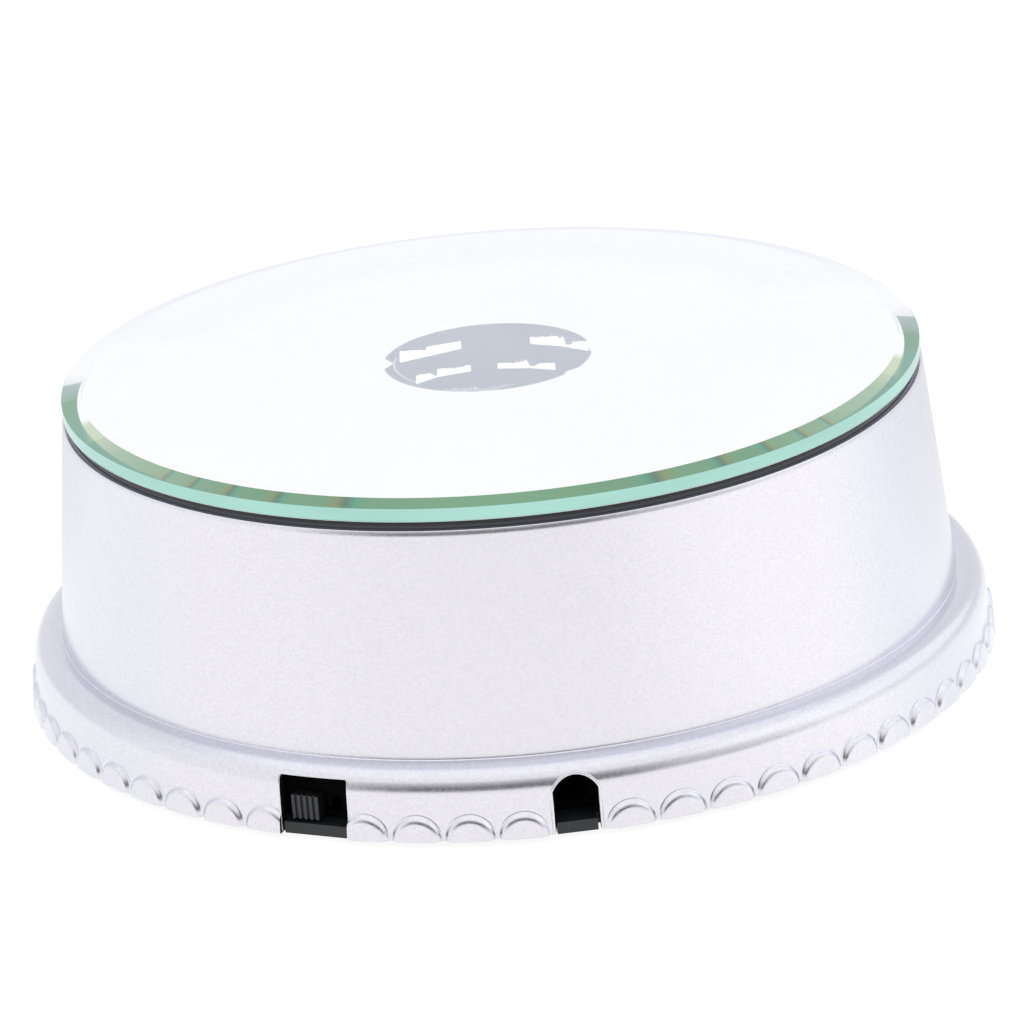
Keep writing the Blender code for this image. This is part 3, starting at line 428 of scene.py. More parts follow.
def paper_tape():
    mat = Material("torn_white_tape")
    fibre = mat.noise(scale=900.0, detail=4.0, rough=0.65)
    tone = mat.mix(mat.ramp(fibre, span=(0.3, 0.7)), (0.93, 0.94, 0.94), (0.99, 0.99, 0.99))
    # painted glow: the emission makes the white tape brighter than its lighting gives
    return mat.shade(Base_Color=tone, Roughness=0.7, Normal=mat.bump(fibre, strength=0.1),
                     Emission_Color=(1.0, 0.90, 0.97), Emission_Strength=0.66)


def solder_board():
    mat = Material("solder_mask")
    tracks = mat.node("ShaderNodeTexBrick", Vector=mat.coord, Scale=140.0,
                      Color1=(0.03, 0.16, 0.07), Color2=(0.04, 0.20, 0.085),
                      Mortar=(0.10, 0.34, 0.15))
    tone = mat.mix(mat.ramp(mat.noise(scale=300.0), span=(0.35, 0.65)),
                   tracks.outputs[0], (0.035, 0.18, 0.08))
    return mat.shade(Base_Color=tone, Roughness=0.35,
                     Normal=mat.bump(mat.noise(scale=700.0), strength=0.05))


FINISHES = {
    "silver": silver_paint(),
    "inner_black": plastic("casing_inside", (0.005, 0.005, 0.0055), rough=0.6,
                           Specular_IOR_Level=0.2),
    "contact": metal("near_black_contact", (0.012, 0.012, 0.013), rough=0.7),
    "black_satin": plastic("black_satin", (0.015, 0.0155, 0.017), rough=0.38, grain=1100.0,
                           depth=0.10),
    "black_gloss": plastic("black_gloss", (0.034, 0.035, 0.039), rough=0.24, grain=500.0,
                           depth=0.03),
    # socket pin: near-black metal
    "rim_black": rim_plastic(),
    "pit_black": plastic("socket_black", (0.0018, 0.0018, 0.002), rough=0.85,
                         Specular_IOR_Level=0.06),
    "knob_grey": plastic("knob_grey", (0.037, 0.038, 0.041), rough=0.45, grain=1400.0,
                         depth=0.12),
    "lip_grey": plastic("lip_grey", (0.040, 0.041, 0.045), rough=0.40, grain=1000.0, depth=0.10),
    "glass": glass("float_glass").block,
    "bevel": bevel_glass(),
    "edge": painted_trapped_light_glass("ground_edge").block,
    "top": top_glass(),
    "silvering": silvering(),
    "frosted": frosted(),
    "tape": paper_tape(),
    "board": solder_board(),
    "nylon": plastic("natural_nylon", (0.74, 0.72, 0.64), rough=0.42, grain=600.0, depth=0.06,
                     vary=0.06, Subsurface_Weight=0.15, Subsurface_Radius=(0.001, 0.001, 0.0008)),
    "steel": metal("zinc_steel", (0.58, 0.58, 0.61), rough=0.3),
    "brass": metal("brass", (0.72, 0.50, 0.22), rough=0.28),
    "rubber": plastic("foot_rubber", (0.022, 0.022, 0.023), rough=0.78, grain=700.0, depth=0.2),
    "epoxy": plastic("clear_epoxy", (0.88, 0.91, 0.94), rough=0.06, grain=300.0, depth=0.02,
                     vary=0.03, Transmission_Weight=0.8),
    "red_pvc": plastic("red_lead", (0.42, 0.02, 0.02), rough=0.35, grain=500.0, depth=0.05,
                       vary=0.12),
    "black_pvc": plastic("black_lead", (0.018, 0.018, 0.019), rough=0.35, grain=500.0,
                         depth=0.05),
    "grey": plastic("grey_moulding", (0.075, 0.075, 0.08), rough=0.45, depth=0.1),
}
# finish of each CAD material slot
FINISH_OF_SLOT = {
    "silver_paint": "silver", "black_abs": "black_satin", "black_gloss": "black_gloss",
    "glass": "glass", "mirror": "silvering", "nylon": "nylon", "steel": "steel",
    "rubber": "rubber", "board": "board", "led_epoxy": "epoxy", "white_tape": "tape",
    "copper": "brass", "red_pvc": "red_pvc", "black_pvc": "black_pvc", "grey_plastic": "grey",
}
SLOT_OF = {piece["node"]: piece["material_slot"] for piece in frame["record"]["subparts"]}
for node_name, cad_piece in frame["nodes"].items():
    finish = FINISHES[FINISH_OF_SLOT[SLOT_OF[node_name]]]
    for material_slot in cad_piece.material_slots:
        material_slot.material = finish
    if not cad_piece.material_slots:
        cad_piece.data.materials.append(finish)


# ==============================================================================================
# mesh tools
# ==============================================================================================
def to_metres(bm):
    bmesh.ops.recalc_face_normals(bm, faces=bm.faces)
    bmesh.ops.scale(bm, vec=(MM, MM, MM), verts=bm.verts)


def set_sharp(obj, angle):
    obj.data.set_sharp_from_angle(angle=math.radians(angle))


def make_object(name, bm, *finishes, angle=32.0):
    """Object from a mesh in millimetres; edges sharper than angle stay hard."""
    to_metres(bm)
    mesh = bpy.data.meshes.new(name)
    bm.to_mesh(mesh)
    bm.free()
    for key in finishes:
        mesh.materials.append(FINISHES[key])
    mesh.shade_smooth()
    obj = bpy.data.objects.new(name, mesh)
    set_sharp(obj, angle)
    bpy.context.scene.collection.objects.link(obj)
    return obj


def register(obj, body, replaced):
    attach(obj, body)
    if replaced:
        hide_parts(replaced)


def bridge(bm, first, second):
    """Faces between two closed rings of vertices, triangles where a ring is a single point."""
    faces = []
    for k in range(len(first)):
        j = (k + 1) % len(first)
        corners = list(dict.fromkeys((first[k], first[j], second[j], second[k])))
        if len(corners) >= 3:
            faces.append(bm.faces.new(corners))
    return faces


def lathe(profile, segments, turn=0.0, centre=(0.0, 0.0)):
    """Turn a closed (radius, z) profile about an upright axis."""
    bm = bmesh.new()
    rings = []
    for radius, z in profile:
        if radius < 1e-6:
            rings.append([bm.verts.new((*centre, z))] * segments)
            continue
        angles = [turn + TAU * k / segments for k in range(segments)]
        rings.append([bm.verts.new((centre[0] + radius * math.cos(a),
                                    centre[1] + radius * math.sin(a), z)) for a in angles])
    for k, ring in enumerate(rings):
        bridge(bm, ring, rings[(k + 1) % len(rings)])
    return bm


def rod(radius, bottom, top, segments, centre=(0.0, 0.0), turn=0.0):
    """Plain upright cylinder."""
    return lathe([(0, bottom), (radius, bottom), (radius, top), (0, top)], segments, turn, centre)


def prism(outline, bottom, top):
    """Plan outline carried upwards."""
    triangles = tessellate_polygon([[Vector((x, y, 0)) for x, y in outline]])
    bm = bmesh.new()
    low = [bm.verts.new((x, y, bottom)) for x, y in outline]
    high = [bm.verts.new((x, y, top)) for x, y in outline]
    for a, b, c in triangles:
        bm.faces.new((low[a], low[b], low[c]))
        bm.faces.new((high[c], high[b], high[a]))
    bridge(bm, low, high)
    return bm


def front(side, out, az):
    """Plan point at azimuth az: side along the skirt to the right, out from the axis."""
    return (side * cosine(az) + out * sine(az), side * sine(az) - out * cosine(az))


def outward(az):
    return Vector((sine(az), -cosine(az), 0))


def polar(radius, deg):
    return (radius * cosine(deg), radius * sine(deg))


def front_prism(az, outline, near, far):
    """Outline in the vertical plane (side, z) carried from near to far along the radius."""
    bm = bmesh.new()
    first = [bm.verts.new((*front(side, near, az), z)) for side, z in outline]
    second = [bm.verts.new((*front(side, far, az), z)) for side, z in outline]
    bm.faces.new(first)
    bm.faces.new(list(reversed(second)))
    bridge(bm, first, second)
    return bm


def front_box(az, side, out, z):
    """Box given as (low, high) along the skirt, from the axis and in height."""
    corners = [(side[0], z[0]), (side[1], z[0]), (side[1], z[1]), (side[0], z[1])]
    return front_prism(az, corners, *out)


def radial_box(deg, radius, width, height):
    """Box lined up with polar angle deg, each size as (low, high)."""
    radial = Vector((cosine(deg), sine(deg), 0))
    tangent = Vector((-radial.y, radial.x, 0))
    bm = bmesh.new()
    corners = [bm.verts.new(radial * r + tangent * w + Vector((0, 0, z)))
               for r in radius for w in width for z in height]
    for quad in ((0, 1, 3, 2), (4, 6, 7, 5), (0, 4, 5, 1), (2, 3, 7, 6), (0, 2, 6, 4),
                 (1, 5, 7, 3)):
        bm.faces.new([corners[k] for k in quad])
    return bm


def join(*pieces):
    joined = bmesh.new()
    for piece in pieces:
        bmesh.ops.recalc_face_normals(piece, faces=piece.faces)
        carrier = bpy.data.meshes.new("tmp")
        piece.to_mesh(carrier)
        piece.free()
        joined.from_mesh(carrier)
        bpy.data.meshes.remove(carrier)
    return joined


def boolean(target, tool_bm, operation, solver="EXACT"):
    """Apply a boolean with a tool mesh in millimetres, and bake the result."""
    to_metres(tool_bm)
    mesh = bpy.data.meshes.new("tool")
    tool_bm.to_mesh(mesh)
    tool_bm.free()
    tool = bpy.data.objects.new("tool", mesh)
    bpy.context.scene.collection.objects.link(tool)
    modifier = target.modifiers.new("cut", "BOOLEAN")
    modifier.solver = solver
    modifier.operation = operation
    modifier.object = tool
    graph = bpy.context.evaluated_depsgraph_get()
    baked = bpy.data.meshes.new_from_object(target.evaluated_get(graph))
    target.modifiers.clear()
    old = target.data
    target.data = baked
    bpy.data.meshes.remove(old)
    bpy.data.objects.remove(tool, do_unlink=True)
    bpy.data.meshes.remove(mesh)


def bevel(obj, width):
    modifier = obj.modifiers.new("edge", "BEVEL")
    modifier.width = width * MM
    modifier.segments = 2
    modifier.limit_method = "ANGLE"
    modifier.angle_limit = math.radians(30.0)
    modifier.harden_normals = True


# ==============================================================================================
# casing: tapered drum on a skirt with raised scallops
# ==============================================================================================
SWITCH_AZ, SOCKET_AZ = -15.0, 15.0
SKIRT_Z, SKIRT_HEIGHT = 1.2, 8.4
SKIRT_R, SKIRT_DRAFT = 90.5, 0.4        # radius at the bottom, and what it loses over the height
SCALLOP_R, SCALLOP_Z, SCALLOP_PITCH = 4.30, 1.45, 6.0       # pitch in degrees
CASING_COLUMNS = 2880

SCREW_ANGLES, SCREW_CIRCLE = (45.0, 135.0, 225.0, 315.0), 72.0
FOOT_ANGLES, FOOT_CIRCLE = (0.0, 90.0, 180.0, 270.0), 74.0
DECK_POSTS = ((67.7, 100.6), (47.9, 106.0), (40.6, 34.2), (68.4, 64.3))     # (radius, angle)

ARCH_Z = 7.3                            # centre of the socket opening's round top
SOCKET_HALF, SOCKET_ARCH_R = 4.1, 4.46
SOCKET_EDGE_HALF, SOCKET_EDGE_R = 4.30, 4.64
# switch opening: (side, z)
SWITCH_WINDOW = [(-6.5, -1.0), (6.5, -1.0), (6.5, 11.55), (6.2, 12.0), (-6.2, 12.0), (-6.5, 11.55)]


def drum_radius(z):
    return 80.27 + (55.57 - z) * 0.1024


def drum_shoulder():
    """Top of the drum, from the wall up: a long easing curve and a tight crest at z 55.25."""
    crest = [(79.30 + 0.20 * cosine(a), 55.05 + 0.20 * sine(a)) for a in range(34, 91, 8)]
    crest.append((79.14, 55.25))
    radius, z = crest[0]
    curve = []
    for k in range(14):
        bend = 0.3 if k < 6 else 3.7
        step = bend * math.radians(2.0)
        elevation = math.radians(34 - 2 * k - 1.0)
        radius, z = radius + step * math.sin(elevation), z - step * math.cos(elevation)
        curve.append((radius, z))
    shift = drum_radius(z) - radius
    return [(r + shift, z) for r, z in curve[::-1] + crest]


def skirt_shoulder():
    """Rounded top of the skirt: a slow curve above the scallops, tighter towards the ledge."""
    radius, z = 90.095, 9.66
    points = [(radius, z)]
    for k in range(28):
        elevation = math.radians(6 + 3 * k + 1.5)
        bend = 6.5 if k < 6 else 4.05
        radius -= bend * math.radians(3) * math.sin(elevation)
        z += bend * math.radians(3) * math.cos(elevation)
        points.append((radius, z))
    return points


def skirt_radius(z):
    """Outer radius of the plain skirt at height z."""
    points = [(SKIRT_R, SKIRT_Z), (SKIRT_R - SKIRT_DRAFT, SKIRT_Z + SKIRT_HEIGHT)]
    points += skirt_shoulder()
    for (r0, z0), (r1, z1) in zip(points, points[1:]):
        if z <= z1:
            return r0 + (r1 - r0) * (z - z0) / max(1e-6, z1 - z0)
    return points[-1][0]


def scallop_height(az, z):
    """How far the skirt stands out: half-round pads with a soft top edge and a fine groove
    round them, left out at the switch and the socket."""
    if z > SCALLOP_Z + SCALLOP_R + 0.6:
        return 0.0
    middle = math.floor(az / SCALLOP_PITCH) * SCALLOP_PITCH + SCALLOP_PITCH / 2
    if abs(middle - SWITCH_AZ) < 1 or abs(middle - SOCKET_AZ) < 1:
        return 0.0
    side = math.radians(az - middle) * 90.5
    distance = math.hypot(side, z - SCALLOP_Z) if z > SCALLOP_Z else abs(side)
    depth = SCALLOP_R - distance
    t = min(1.0, max(0.0, (depth + 0.30) / 0.70))
    rise = 0.50 * t * t * (3 - 2 * t)
    dome = 0.40 * (1 - (1 - min(1.0, max(0.0, depth - 0.05) / 1.35)) ** 2)
    groove = -0.05 * math.exp(-((depth + 0.42) / 0.18) ** 2)
    return rise + dome + groove


def arch(half, radius, segments):
    """Round top of the socket opening as (side, z), from right to left."""
    start = math.degrees(math.acos(half / radius))
    angles = [start + (180 - start - start) * k / segments for k in range(segments + 1)]
    return [(radius * cosine(a), ARCH_Z + radius * sine(a)) for a in angles]


def casing_shell():
    """Skirt, drum and the deck inside, as one closed skin."""
    rows = [SKIRT_Z + 0.15 * k for k in range(int((7.0 - SKIRT_Z) / 0.15) + 1)]
    outer = [(90.3, SKIRT_Z)]
    outer += [(SKIRT_R - (z - SKIRT_Z) * SKIRT_DRAFT / SKIRT_HEIGHT, max(z, SKIRT_Z + 0.12))
              for z in rows]
    scalloped = len(outer)
    outer += [(90.15, 8.2), (90.12, 9.4)] + skirt_shoulder()
    outer += [(85.0, 14.0), (drum_radius(13.98) + 0.14, 13.98)]
    outer += [(drum_radius(z), z) for z in (14.12, 14.4, 24.0, 34.0, 44.0, 52.0)]
    outer += drum_shoulder()
    outer += [(79.05, 55.16), (78.95, 55.02), (78.8, 54.98), (78.1, 54.98)]
    inner = [
        (77.9, 54.9), (78.9, 46.0), (26.4, 46.0), (26.0, 45.7), (26.0, 44.3), (26.4, 44.0),
        (79.1, 44.0), (82.2, 12.2), (85.6, 12.1), (87.0, 11.75), (87.85, 10.9), (88.1, 9.6),
        (88.4, SKIRT_Z)]
    bm = bmesh.new()
    rings = []
    for i, (radius, z) in enumerate(outer + inner):
        ring = []
        for k in range(CASING_COLUMNS):
            az = -180.0 + 360.0 * k / CASING_COLUMNS
            raised = 0.0
            if i == 0:
                raised = 0.75 * scallop_height(az, z + 0.1)
            elif i < scalloped:
                raised = scallop_height(az, z)
            reach = radius + raised
            ring.append(bm.verts.new((reach * sine(az), -reach * cosine(az), z)))
        rings.append(ring)
    for i, ring in enumerate(rings):
        for face in bridge(bm, ring, rings[(i + 1) % len(rings)]):
            face.material_index = 1 if i >= len(outer) else 0
    return make_object("casing", bm, "silver", "inner_black", angle=60.0)


def fit_out_casing(casing):
    """Screw bosses, posts and roller cradles under and on the deck."""
    solids, holes = [], []
    for deg in SCREW_ANGLES:
        centre = polar(SCREW_CIRCLE, deg)
        solids.append(rod(4.0, 5.5, 44.8, 32, centre))
        holes.append(rod(1.8, 2.0, 16.0, 24, centre))
    for deg in (30.0, 150.0, 270.0):
        centre = polar(32.0, deg)
        solids.append(rod(2.6, 40.7, 44.8, 32, centre))
        holes.append(rod(1.2, 40.0, 45.0, 20, centre))
    for radius, deg in DECK_POSTS:
        centre = polar(radius, deg)
        solids.append(rod(2.8, 43.7, 44.8, 32, centre))
        holes.append(rod(1.25, 43.0, 45.3, 20, centre))
    for deg in (10.0, 130.0, 250.0):
        for cheek in ((68.2, 69.6), (74.4, 75.8)):
            solids.append(radial_box(deg, cheek, (-3.0, 3.0), (44.6, 52.2)))
        holes.append(radial_box(deg, (67.5, 76.5), (-1.15, 1.15), (49.75, 53.75)))
    holes.append(rod(3.2, 42, 48, 32, (0.0, 54.0), turn=0.1))
    boolean(casing, join(*solids), "UNION", "MANIFOLD")
    boolean(casing, join(*holes), "DIFFERENCE", "MANIFOLD")


def blacken_openings(mesh):
    """The side faces of the switch and socket openings are bare black plastic."""
    while len(mesh.materials) < 2:      # make sure the bare plastic has its slot
        mesh.materials.append(FINISHES["inner_black"])
    for polygon in mesh.polygons:
        centre = Vector(polygon.center) / MM
        if centre.z > 12.2 or math.hypot(centre.x, centre.y) < 82.5:
            continue
        for az, half in ((SWITCH_AZ, 6.52), (SOCKET_AZ, 4.5)):
            side = centre.x * cosine(az) + centre.y * sine(az)
            out = centre.x * sine(az) - centre.y * cosine(az)
            if abs(side) < half and out > 0 and abs(polygon.normal.dot(outward(az))) < 0.3:
                polygon.material_index = 1


def build_casing():
    casing = casing_shell()
    fit_out_casing(casing)
    socket = [(-SOCKET_HALF, -1.0), (SOCKET_HALF, -1.0)] + arch(SOCKET_HALF, SOCKET_ARCH_R, 28)
    openings = join(front_prism(SWITCH_AZ, SWITCH_WINDOW, 80.5, 97.0),
                    front_prism(SOCKET_AZ, socket, 83.0, 97.0))
    boolean(casing, openings, "DIFFERENCE", "MANIFOLD")
    blacken_openings(casing.data)
    set_sharp(casing, 40)
    register(casing, "base", "housing_shell")


def rolled_edge(name, az, path, radius):
    """Soft painted edge beside an opening: a thin bead that follows the skirt's surface."""
    points = []
    for side, z in path:
        out = math.sqrt(skirt_radius(z) ** 2 - side * side) - radius * 0.55
        points.append(Vector((*front(side, out, az), z)))
    bm = bmesh.new()
    rings = []
    for k, centre in enumerate(points):
        tangent = (points[min(k + 1, len(points) - 1)] - points[max(k - 1, 0)]).normalized()
        normal = outward(az)
        normal = (normal - tangent * normal.dot(tangent)).normalized()
        across = tangent.cross(normal)
        turns = [TAU * q / 12 for q in range(12)]
        rings.append([bm.verts.new(centre + normal * radius * math.cos(t)
                                   + across * radius * math.sin(t)) for t in turns])
    for first, second in zip(rings, rings[1:]):
        bridge(bm, first, second)
    bm.faces.new(list(reversed(rings[0])))
    bm.faces.new(rings[-1])
    register(make_object(name, bm, "silver", angle=60.0), "base", None)


def build_edges():
    upright = [(4.28, 1.5 + 0.4 * k) for k in range(16)] + [(SOCKET_EDGE_HALF, 7.4)]
    path = upright + arch(SOCKET_EDGE_HALF, SOCKET_EDGE_R, 40)
    path += [(-side, z) for side, z in reversed(upright)]
    rolled_edge("socket_edge", SOCKET_AZ, path, 0.34)
    upright = [(6.62, 1.5 + 0.45 * k) for k in range(23)] + [(6.55, 11.8)]
    for label, sign in (("right", 1), ("left", -1)):
        path = [(sign * side, z) for side, z in upright]
        rolled_edge("switch_edge_" + label, SWITCH_AZ, path, 0.2)


build_casing()
build_edges()

# ==============================================================================================
# glass, silvering, window
# ==============================================================================================
GLASS_R, GLASS_BOTTOM, GLASS_TOP = 80.0, 56.90, 60.0
GLASS_ARRIS, GLASS_BEVEL = 59.36, 3.7       # height of the edge's top; width of the slope
SILVER_R, FILM_R = 79.85, 19.45             # outer and inner radius of the silvering
# little tabs on the silvering's inner edge: (angle, half width in degrees, depth)
FILM_TABS = ((178.0, 8.5, 1.9), (-38.5, 4.6, 0.75), (-42.0, 1.6, 0.6), (4.0, 10.0, 0.7))


def build_glass():
    bm = lathe([
        (0, GLASS_BOTTOM), (40.0, GLASS_BOTTOM), (79.80, GLASS_BOTTOM),
        (GLASS_R, GLASS_BOTTOM + 0.2), (GLASS_R, GLASS_ARRIS - 0.05), (79.95, GLASS_ARRIS),
        (GLASS_R - GLASS_BEVEL, GLASS_TOP), (40.0, GLASS_TOP), (0, GLASS_TOP),
    ], 720)
    bmesh.ops.recalc_face_normals(bm, faces=bm.faces)
    for face in bm.faces:
        up = face.normal.z
        face.material_index = 3 if up > 0.998 else (1 if up > 0.9 else (2 if abs(up) < 0.3 else 0))
    disc = make_object("bevelled_glass", bm, "glass", "bevel", "edge", "top", angle=4.0)
    register(disc, "platter", "glass_disc")


def film_edge(deg):
    """Radius of the silvering's inner edge: round, slightly uneven, with its tabs."""
    radius = FILM_R
    for middle, half, depth in FILM_TABS:
        distance = abs((deg - middle + 180) % 360 - 180)
        if distance < half:
            radius -= depth * (1 - distance / half) ** 0.8
    return radius + 0.03 * math.sin(deg * 1.9) + 0.02 * math.sin(deg * 5.3)


def build_film():
    count = 720
    bm = bmesh.new()
    rings = []
    for z in (56.82, 56.86):
        inner, outer = [], []
        for k in range(count):
            deg = 360.0 * k / count
            x, y = polar(film_edge(deg), deg)
            x, y = facing(x + WINDOW_CENTRE[0], y + WINDOW_CENTRE[1])
            inner.append(bm.verts.new((x, y, z)))
            outer.append(bm.verts.new((*facing(*polar(SILVER_R, deg)), z)))
        rings += [inner, outer]
    low_in, low_out, high_in, high_out = rings
    for k in range(count):
        j = (k + 1) % count
        bm.faces.new((low_in[k], low_in[j], low_out[j], low_out[k]))
        bm.faces.new((high_in[j], high_in[k], high_out[k], high_out[j]))
        bm.faces.new((low_out[k], low_out[j], high_out[j], high_out[k]))
        bm.faces.new((low_in[j], low_in[k], high_in[k], high_in[j]))
    register(make_object("silver_layer", bm, "silvering"), "platter", "mirror_silvering")


def build_window():
    bm = lathe([
        (0, 54.9), (18.9, 54.9), (19.6, 55.3), (19.6, 56.62), (21.6, 56.62), (21.6, 56.74),
        (21.56, 56.78), (0, 56.78)], 160)
    register(make_object("window_disc", bm, "frosted"), "platter", "diffuser_disc")


TAPE_SHIFT = (-0.12, 1.2)
# Torn tapes, laid out facing the view: the near edge as (x, y) points; the width beyond it as
# (share of the length, width) stations; the ragged stretches as (from, to, depth).
TAPES = {
    "tape_1": ([(-16.6, 1.1), (-5.0, 6.4)],
               [(0.0, 6.4), (0.36, 4.3), (0.41, 3.0), (0.45, 5.6), (1.0, 4.3)],
               [(0.30, 0.62, 0.25)]),
    "tape_2": ([(8.0, 5.95), (14.1, 2.8), (18.6, -1.1)],
               [(0.0, 3.9), (0.56, 5.0), (0.58, 1.2), (0.67, 1.6), (0.74, 3.8), (1.0, 5.5)],
               [(0.02, 0.55, 1.1), (0.70, 0.95, 0.4)]),
    "tape_3": ([(-13.7, -12.0), (-9.8, -9.0), (-3.5, -7.2)],
               [(0.0, 4.5), (0.20, 3.8), (0.34, 1.8), (0.42, 0.3), (0.44, 4.1), (0.55, 4.0),
                (0.88, 2.7), (0.92, 3.3), (1.0, 3.3)],
               [(0.0, 0.38, 0.6), (0.46, 0.95, 0.6)]),
    "tape_4": ([(1.5, -6.9), (7.4, -8.2), (12.1, -10.4)],
               [(0.0, 2.9), (0.3, 3.1), (0.5, 3.6), (0.55, 0.9), (0.62, 1.0), (0.75, 3.0),
                (1.0, 3.9)],
               [(0.24, 0.52, 0.9), (0.66, 0.95, 0.4)]),
}


def point_along(path, share):
    lengths = [math.dist(start, end) for start, end in zip(path, path[1:])]
    left = share * sum(lengths)
    for k, length in enumerate(lengths):
        if left <= length or k == len(lengths) - 1:
            (x0, y0), (x1, y1) = path[k], path[k + 1]
            part = min(1.0, left / length)
            return (x0 + part * (x1 - x0), y0 + part * (y1 - y0))
        left -= length


def width_at(stations, share):
    for (t0, w0), (t1, w1) in zip(stations, stations[1:]):
        if share <= t1:
            return w0 + (w1 - w0) * (share - t0) / (t1 - t0)
    return stations[-1][1]


def tape_outline(path, stations, tears, seed):
    """Straight near edge and a torn far edge."""
    sin = math.sin
    torn = []
    for t in sorted({k / 150 for k in range(151)} | {t for t, width in stations}, reverse=True):
        x, y = point_along(path, t)
        tear = 0.13 * sin(41.0 * t + 3.0 * sin(17.0 * t + seed)) + 0.10 * sin(103.0 * t + seed)
        ragged = [depth for start, end, depth in tears if start <= t <= end]
        if ragged:
            coarse = 1.3 * abs(sin(43.0 * t + 3.0 * sin(19.0 * t + seed)))
            fine = 0.9 * sin(109.0 * t + 4.0 * sin(57.0 * t)) * sin(27.0 * t + seed)
            tear += ragged[0] * (coarse + fine - 0.6)
        torn.append((x, y + max(0.35, width_at(stations, t) + tear)))
    return [facing(x + TAPE_SHIFT[0], y + TAPE_SHIFT[1]) for x, y in path + torn]


def build_tapes():
    for k, (name, layout) in enumerate(TAPES.items()):
        bm = prism(tape_outline(*layout, seed=1.7 * k), 56.70, 56.86)
        register(make_object("torn_" + name, bm, "tape"), "platter", name)


def build_platter():
    """Platter with its black rim and hollow hub."""
    bm = lathe([
        (19.7, 56.58), (78.8, 56.58), (79.0, 56.45), (79.0, 55.40), (78.92, 55.32),
        (76.0, 55.32), (76.0, 54.6), (75.9, 54.5), (25.0, 54.50), (25.0, 43.7), (24.1, 43.7),
        (24.1, 42.4), (25.0, 42.4), (25.0, 41.9), (24.7, 41.6), (22.2, 41.6), (21.9, 41.9),
        (21.9, 54.5), (19.7, 54.5)], 360)
    register(make_object("platter_rim", bm, "rim_black"), "platter", "platter")


build_glass()
build_film()
build_window()
build_tapes()
build_platter()


# ==============================================================================================
# bottom plate, feet, screws
# ==============================================================================================
def long_slot(x, y, half_width, half_length):
    """Cutter for a slot along Y with round ends."""
    straight = half_length - half_width
    cap = [(half_width * math.cos(math.pi * k / 8), half_width * math.sin(math.pi * k / 8))
           for k in range(9)]
    points = [(x + dx, y + straight + dy) for dx, dy in cap]
    points += [(x - dx, y - straight - dy) for dx, dy in cap]
    return prism(points, 0.0, 5.0)


def build_plate():
    disc = lathe([(0, 1.2), (87.6, 1.2), (87.9, 1.5), (87.9, 3.4), (0, 3.4)], 360)
    plate = make_object("bottom_plate", disc, "black_satin")
    # lips that close the switch and socket openings below
    solids = [front_box(SWITCH_AZ, (-5.95, 6.2), (85.0, 90.2), (1.22, 3.38)),
              front_box(SOCKET_AZ, (-3.7, 3.5), (85.0, 90.4), (1.22, 3.38))]
    holes = []
    for deg in SCREW_ANGLES:
        centre = polar(SCREW_CIRCLE, deg)
        solids.append(rod(5.4, 3.0, 5.2, 40, centre))
        holes.append(lathe([(0, 0.0), (3.5, 0.0), (3.5, 3.2), (1.9, 3.2), (1.9, 6.0), (0, 6.0)],
                           32, centre=centre))
    for centre in ((-12.0, -61.0), (12.0, -61.0), (0.0, -48.5)):
        solids.append(lathe([(0, 3.0), (2.2, 3.0), (2.2, 5.7), (0.85, 5.7), (0.85, 8.6), (0, 8.6)],
                            24, centre=centre))
    for deg in FOOT_ANGLES:
        holes.append(rod(3.8, 0.0, 2.6, 32, polar(FOOT_CIRCLE, deg)))
    # cooling slots under the motor
    for k in range(5):
        holes.append(long_slot(22.0 + 4.2 * k, 30.0, 1.0, 13.0))
    boolean(plate, join(*solids), "UNION")
    boolean(plate, join(*holes), "DIFFERENCE")
    # two shallow ring grooves in the underside
    for inner, outer, segments in ((33.0, 33.6, 180), (82.0, 82.6, 240)):
        groove = [(inner, 0.0), (outer, 0.0), (outer, 1.55), (inner, 1.55)]
        boolean(plate, lathe(groove, segments), "DIFFERENCE")
    set_sharp(plate, 32)
    register(plate, "base", "base_plate")


def build_foot(number, deg):
    bm = lathe([
        (0, 0.15), (3.0, 0.15), (3.2, 0.0), (5.3, 0.0), (5.75, 0.12), (6.0, 0.5), (6.0, 1.0),
        (5.85, 1.15), (3.5, 1.15), (3.5, 2.3), (3.3, 2.4), (0, 2.4)],
        64, centre=polar(FOOT_CIRCLE, deg))
    register(make_object(f"rubber_foot_{number}", bm, "rubber"), "base", f"foot_{number}")


HEAD_Z, HEAD_HEIGHT, HEAD_R = 1.5, 1.6, 3.0
SHANK_R, SHANK_LENGTH = 1.5, 10.5


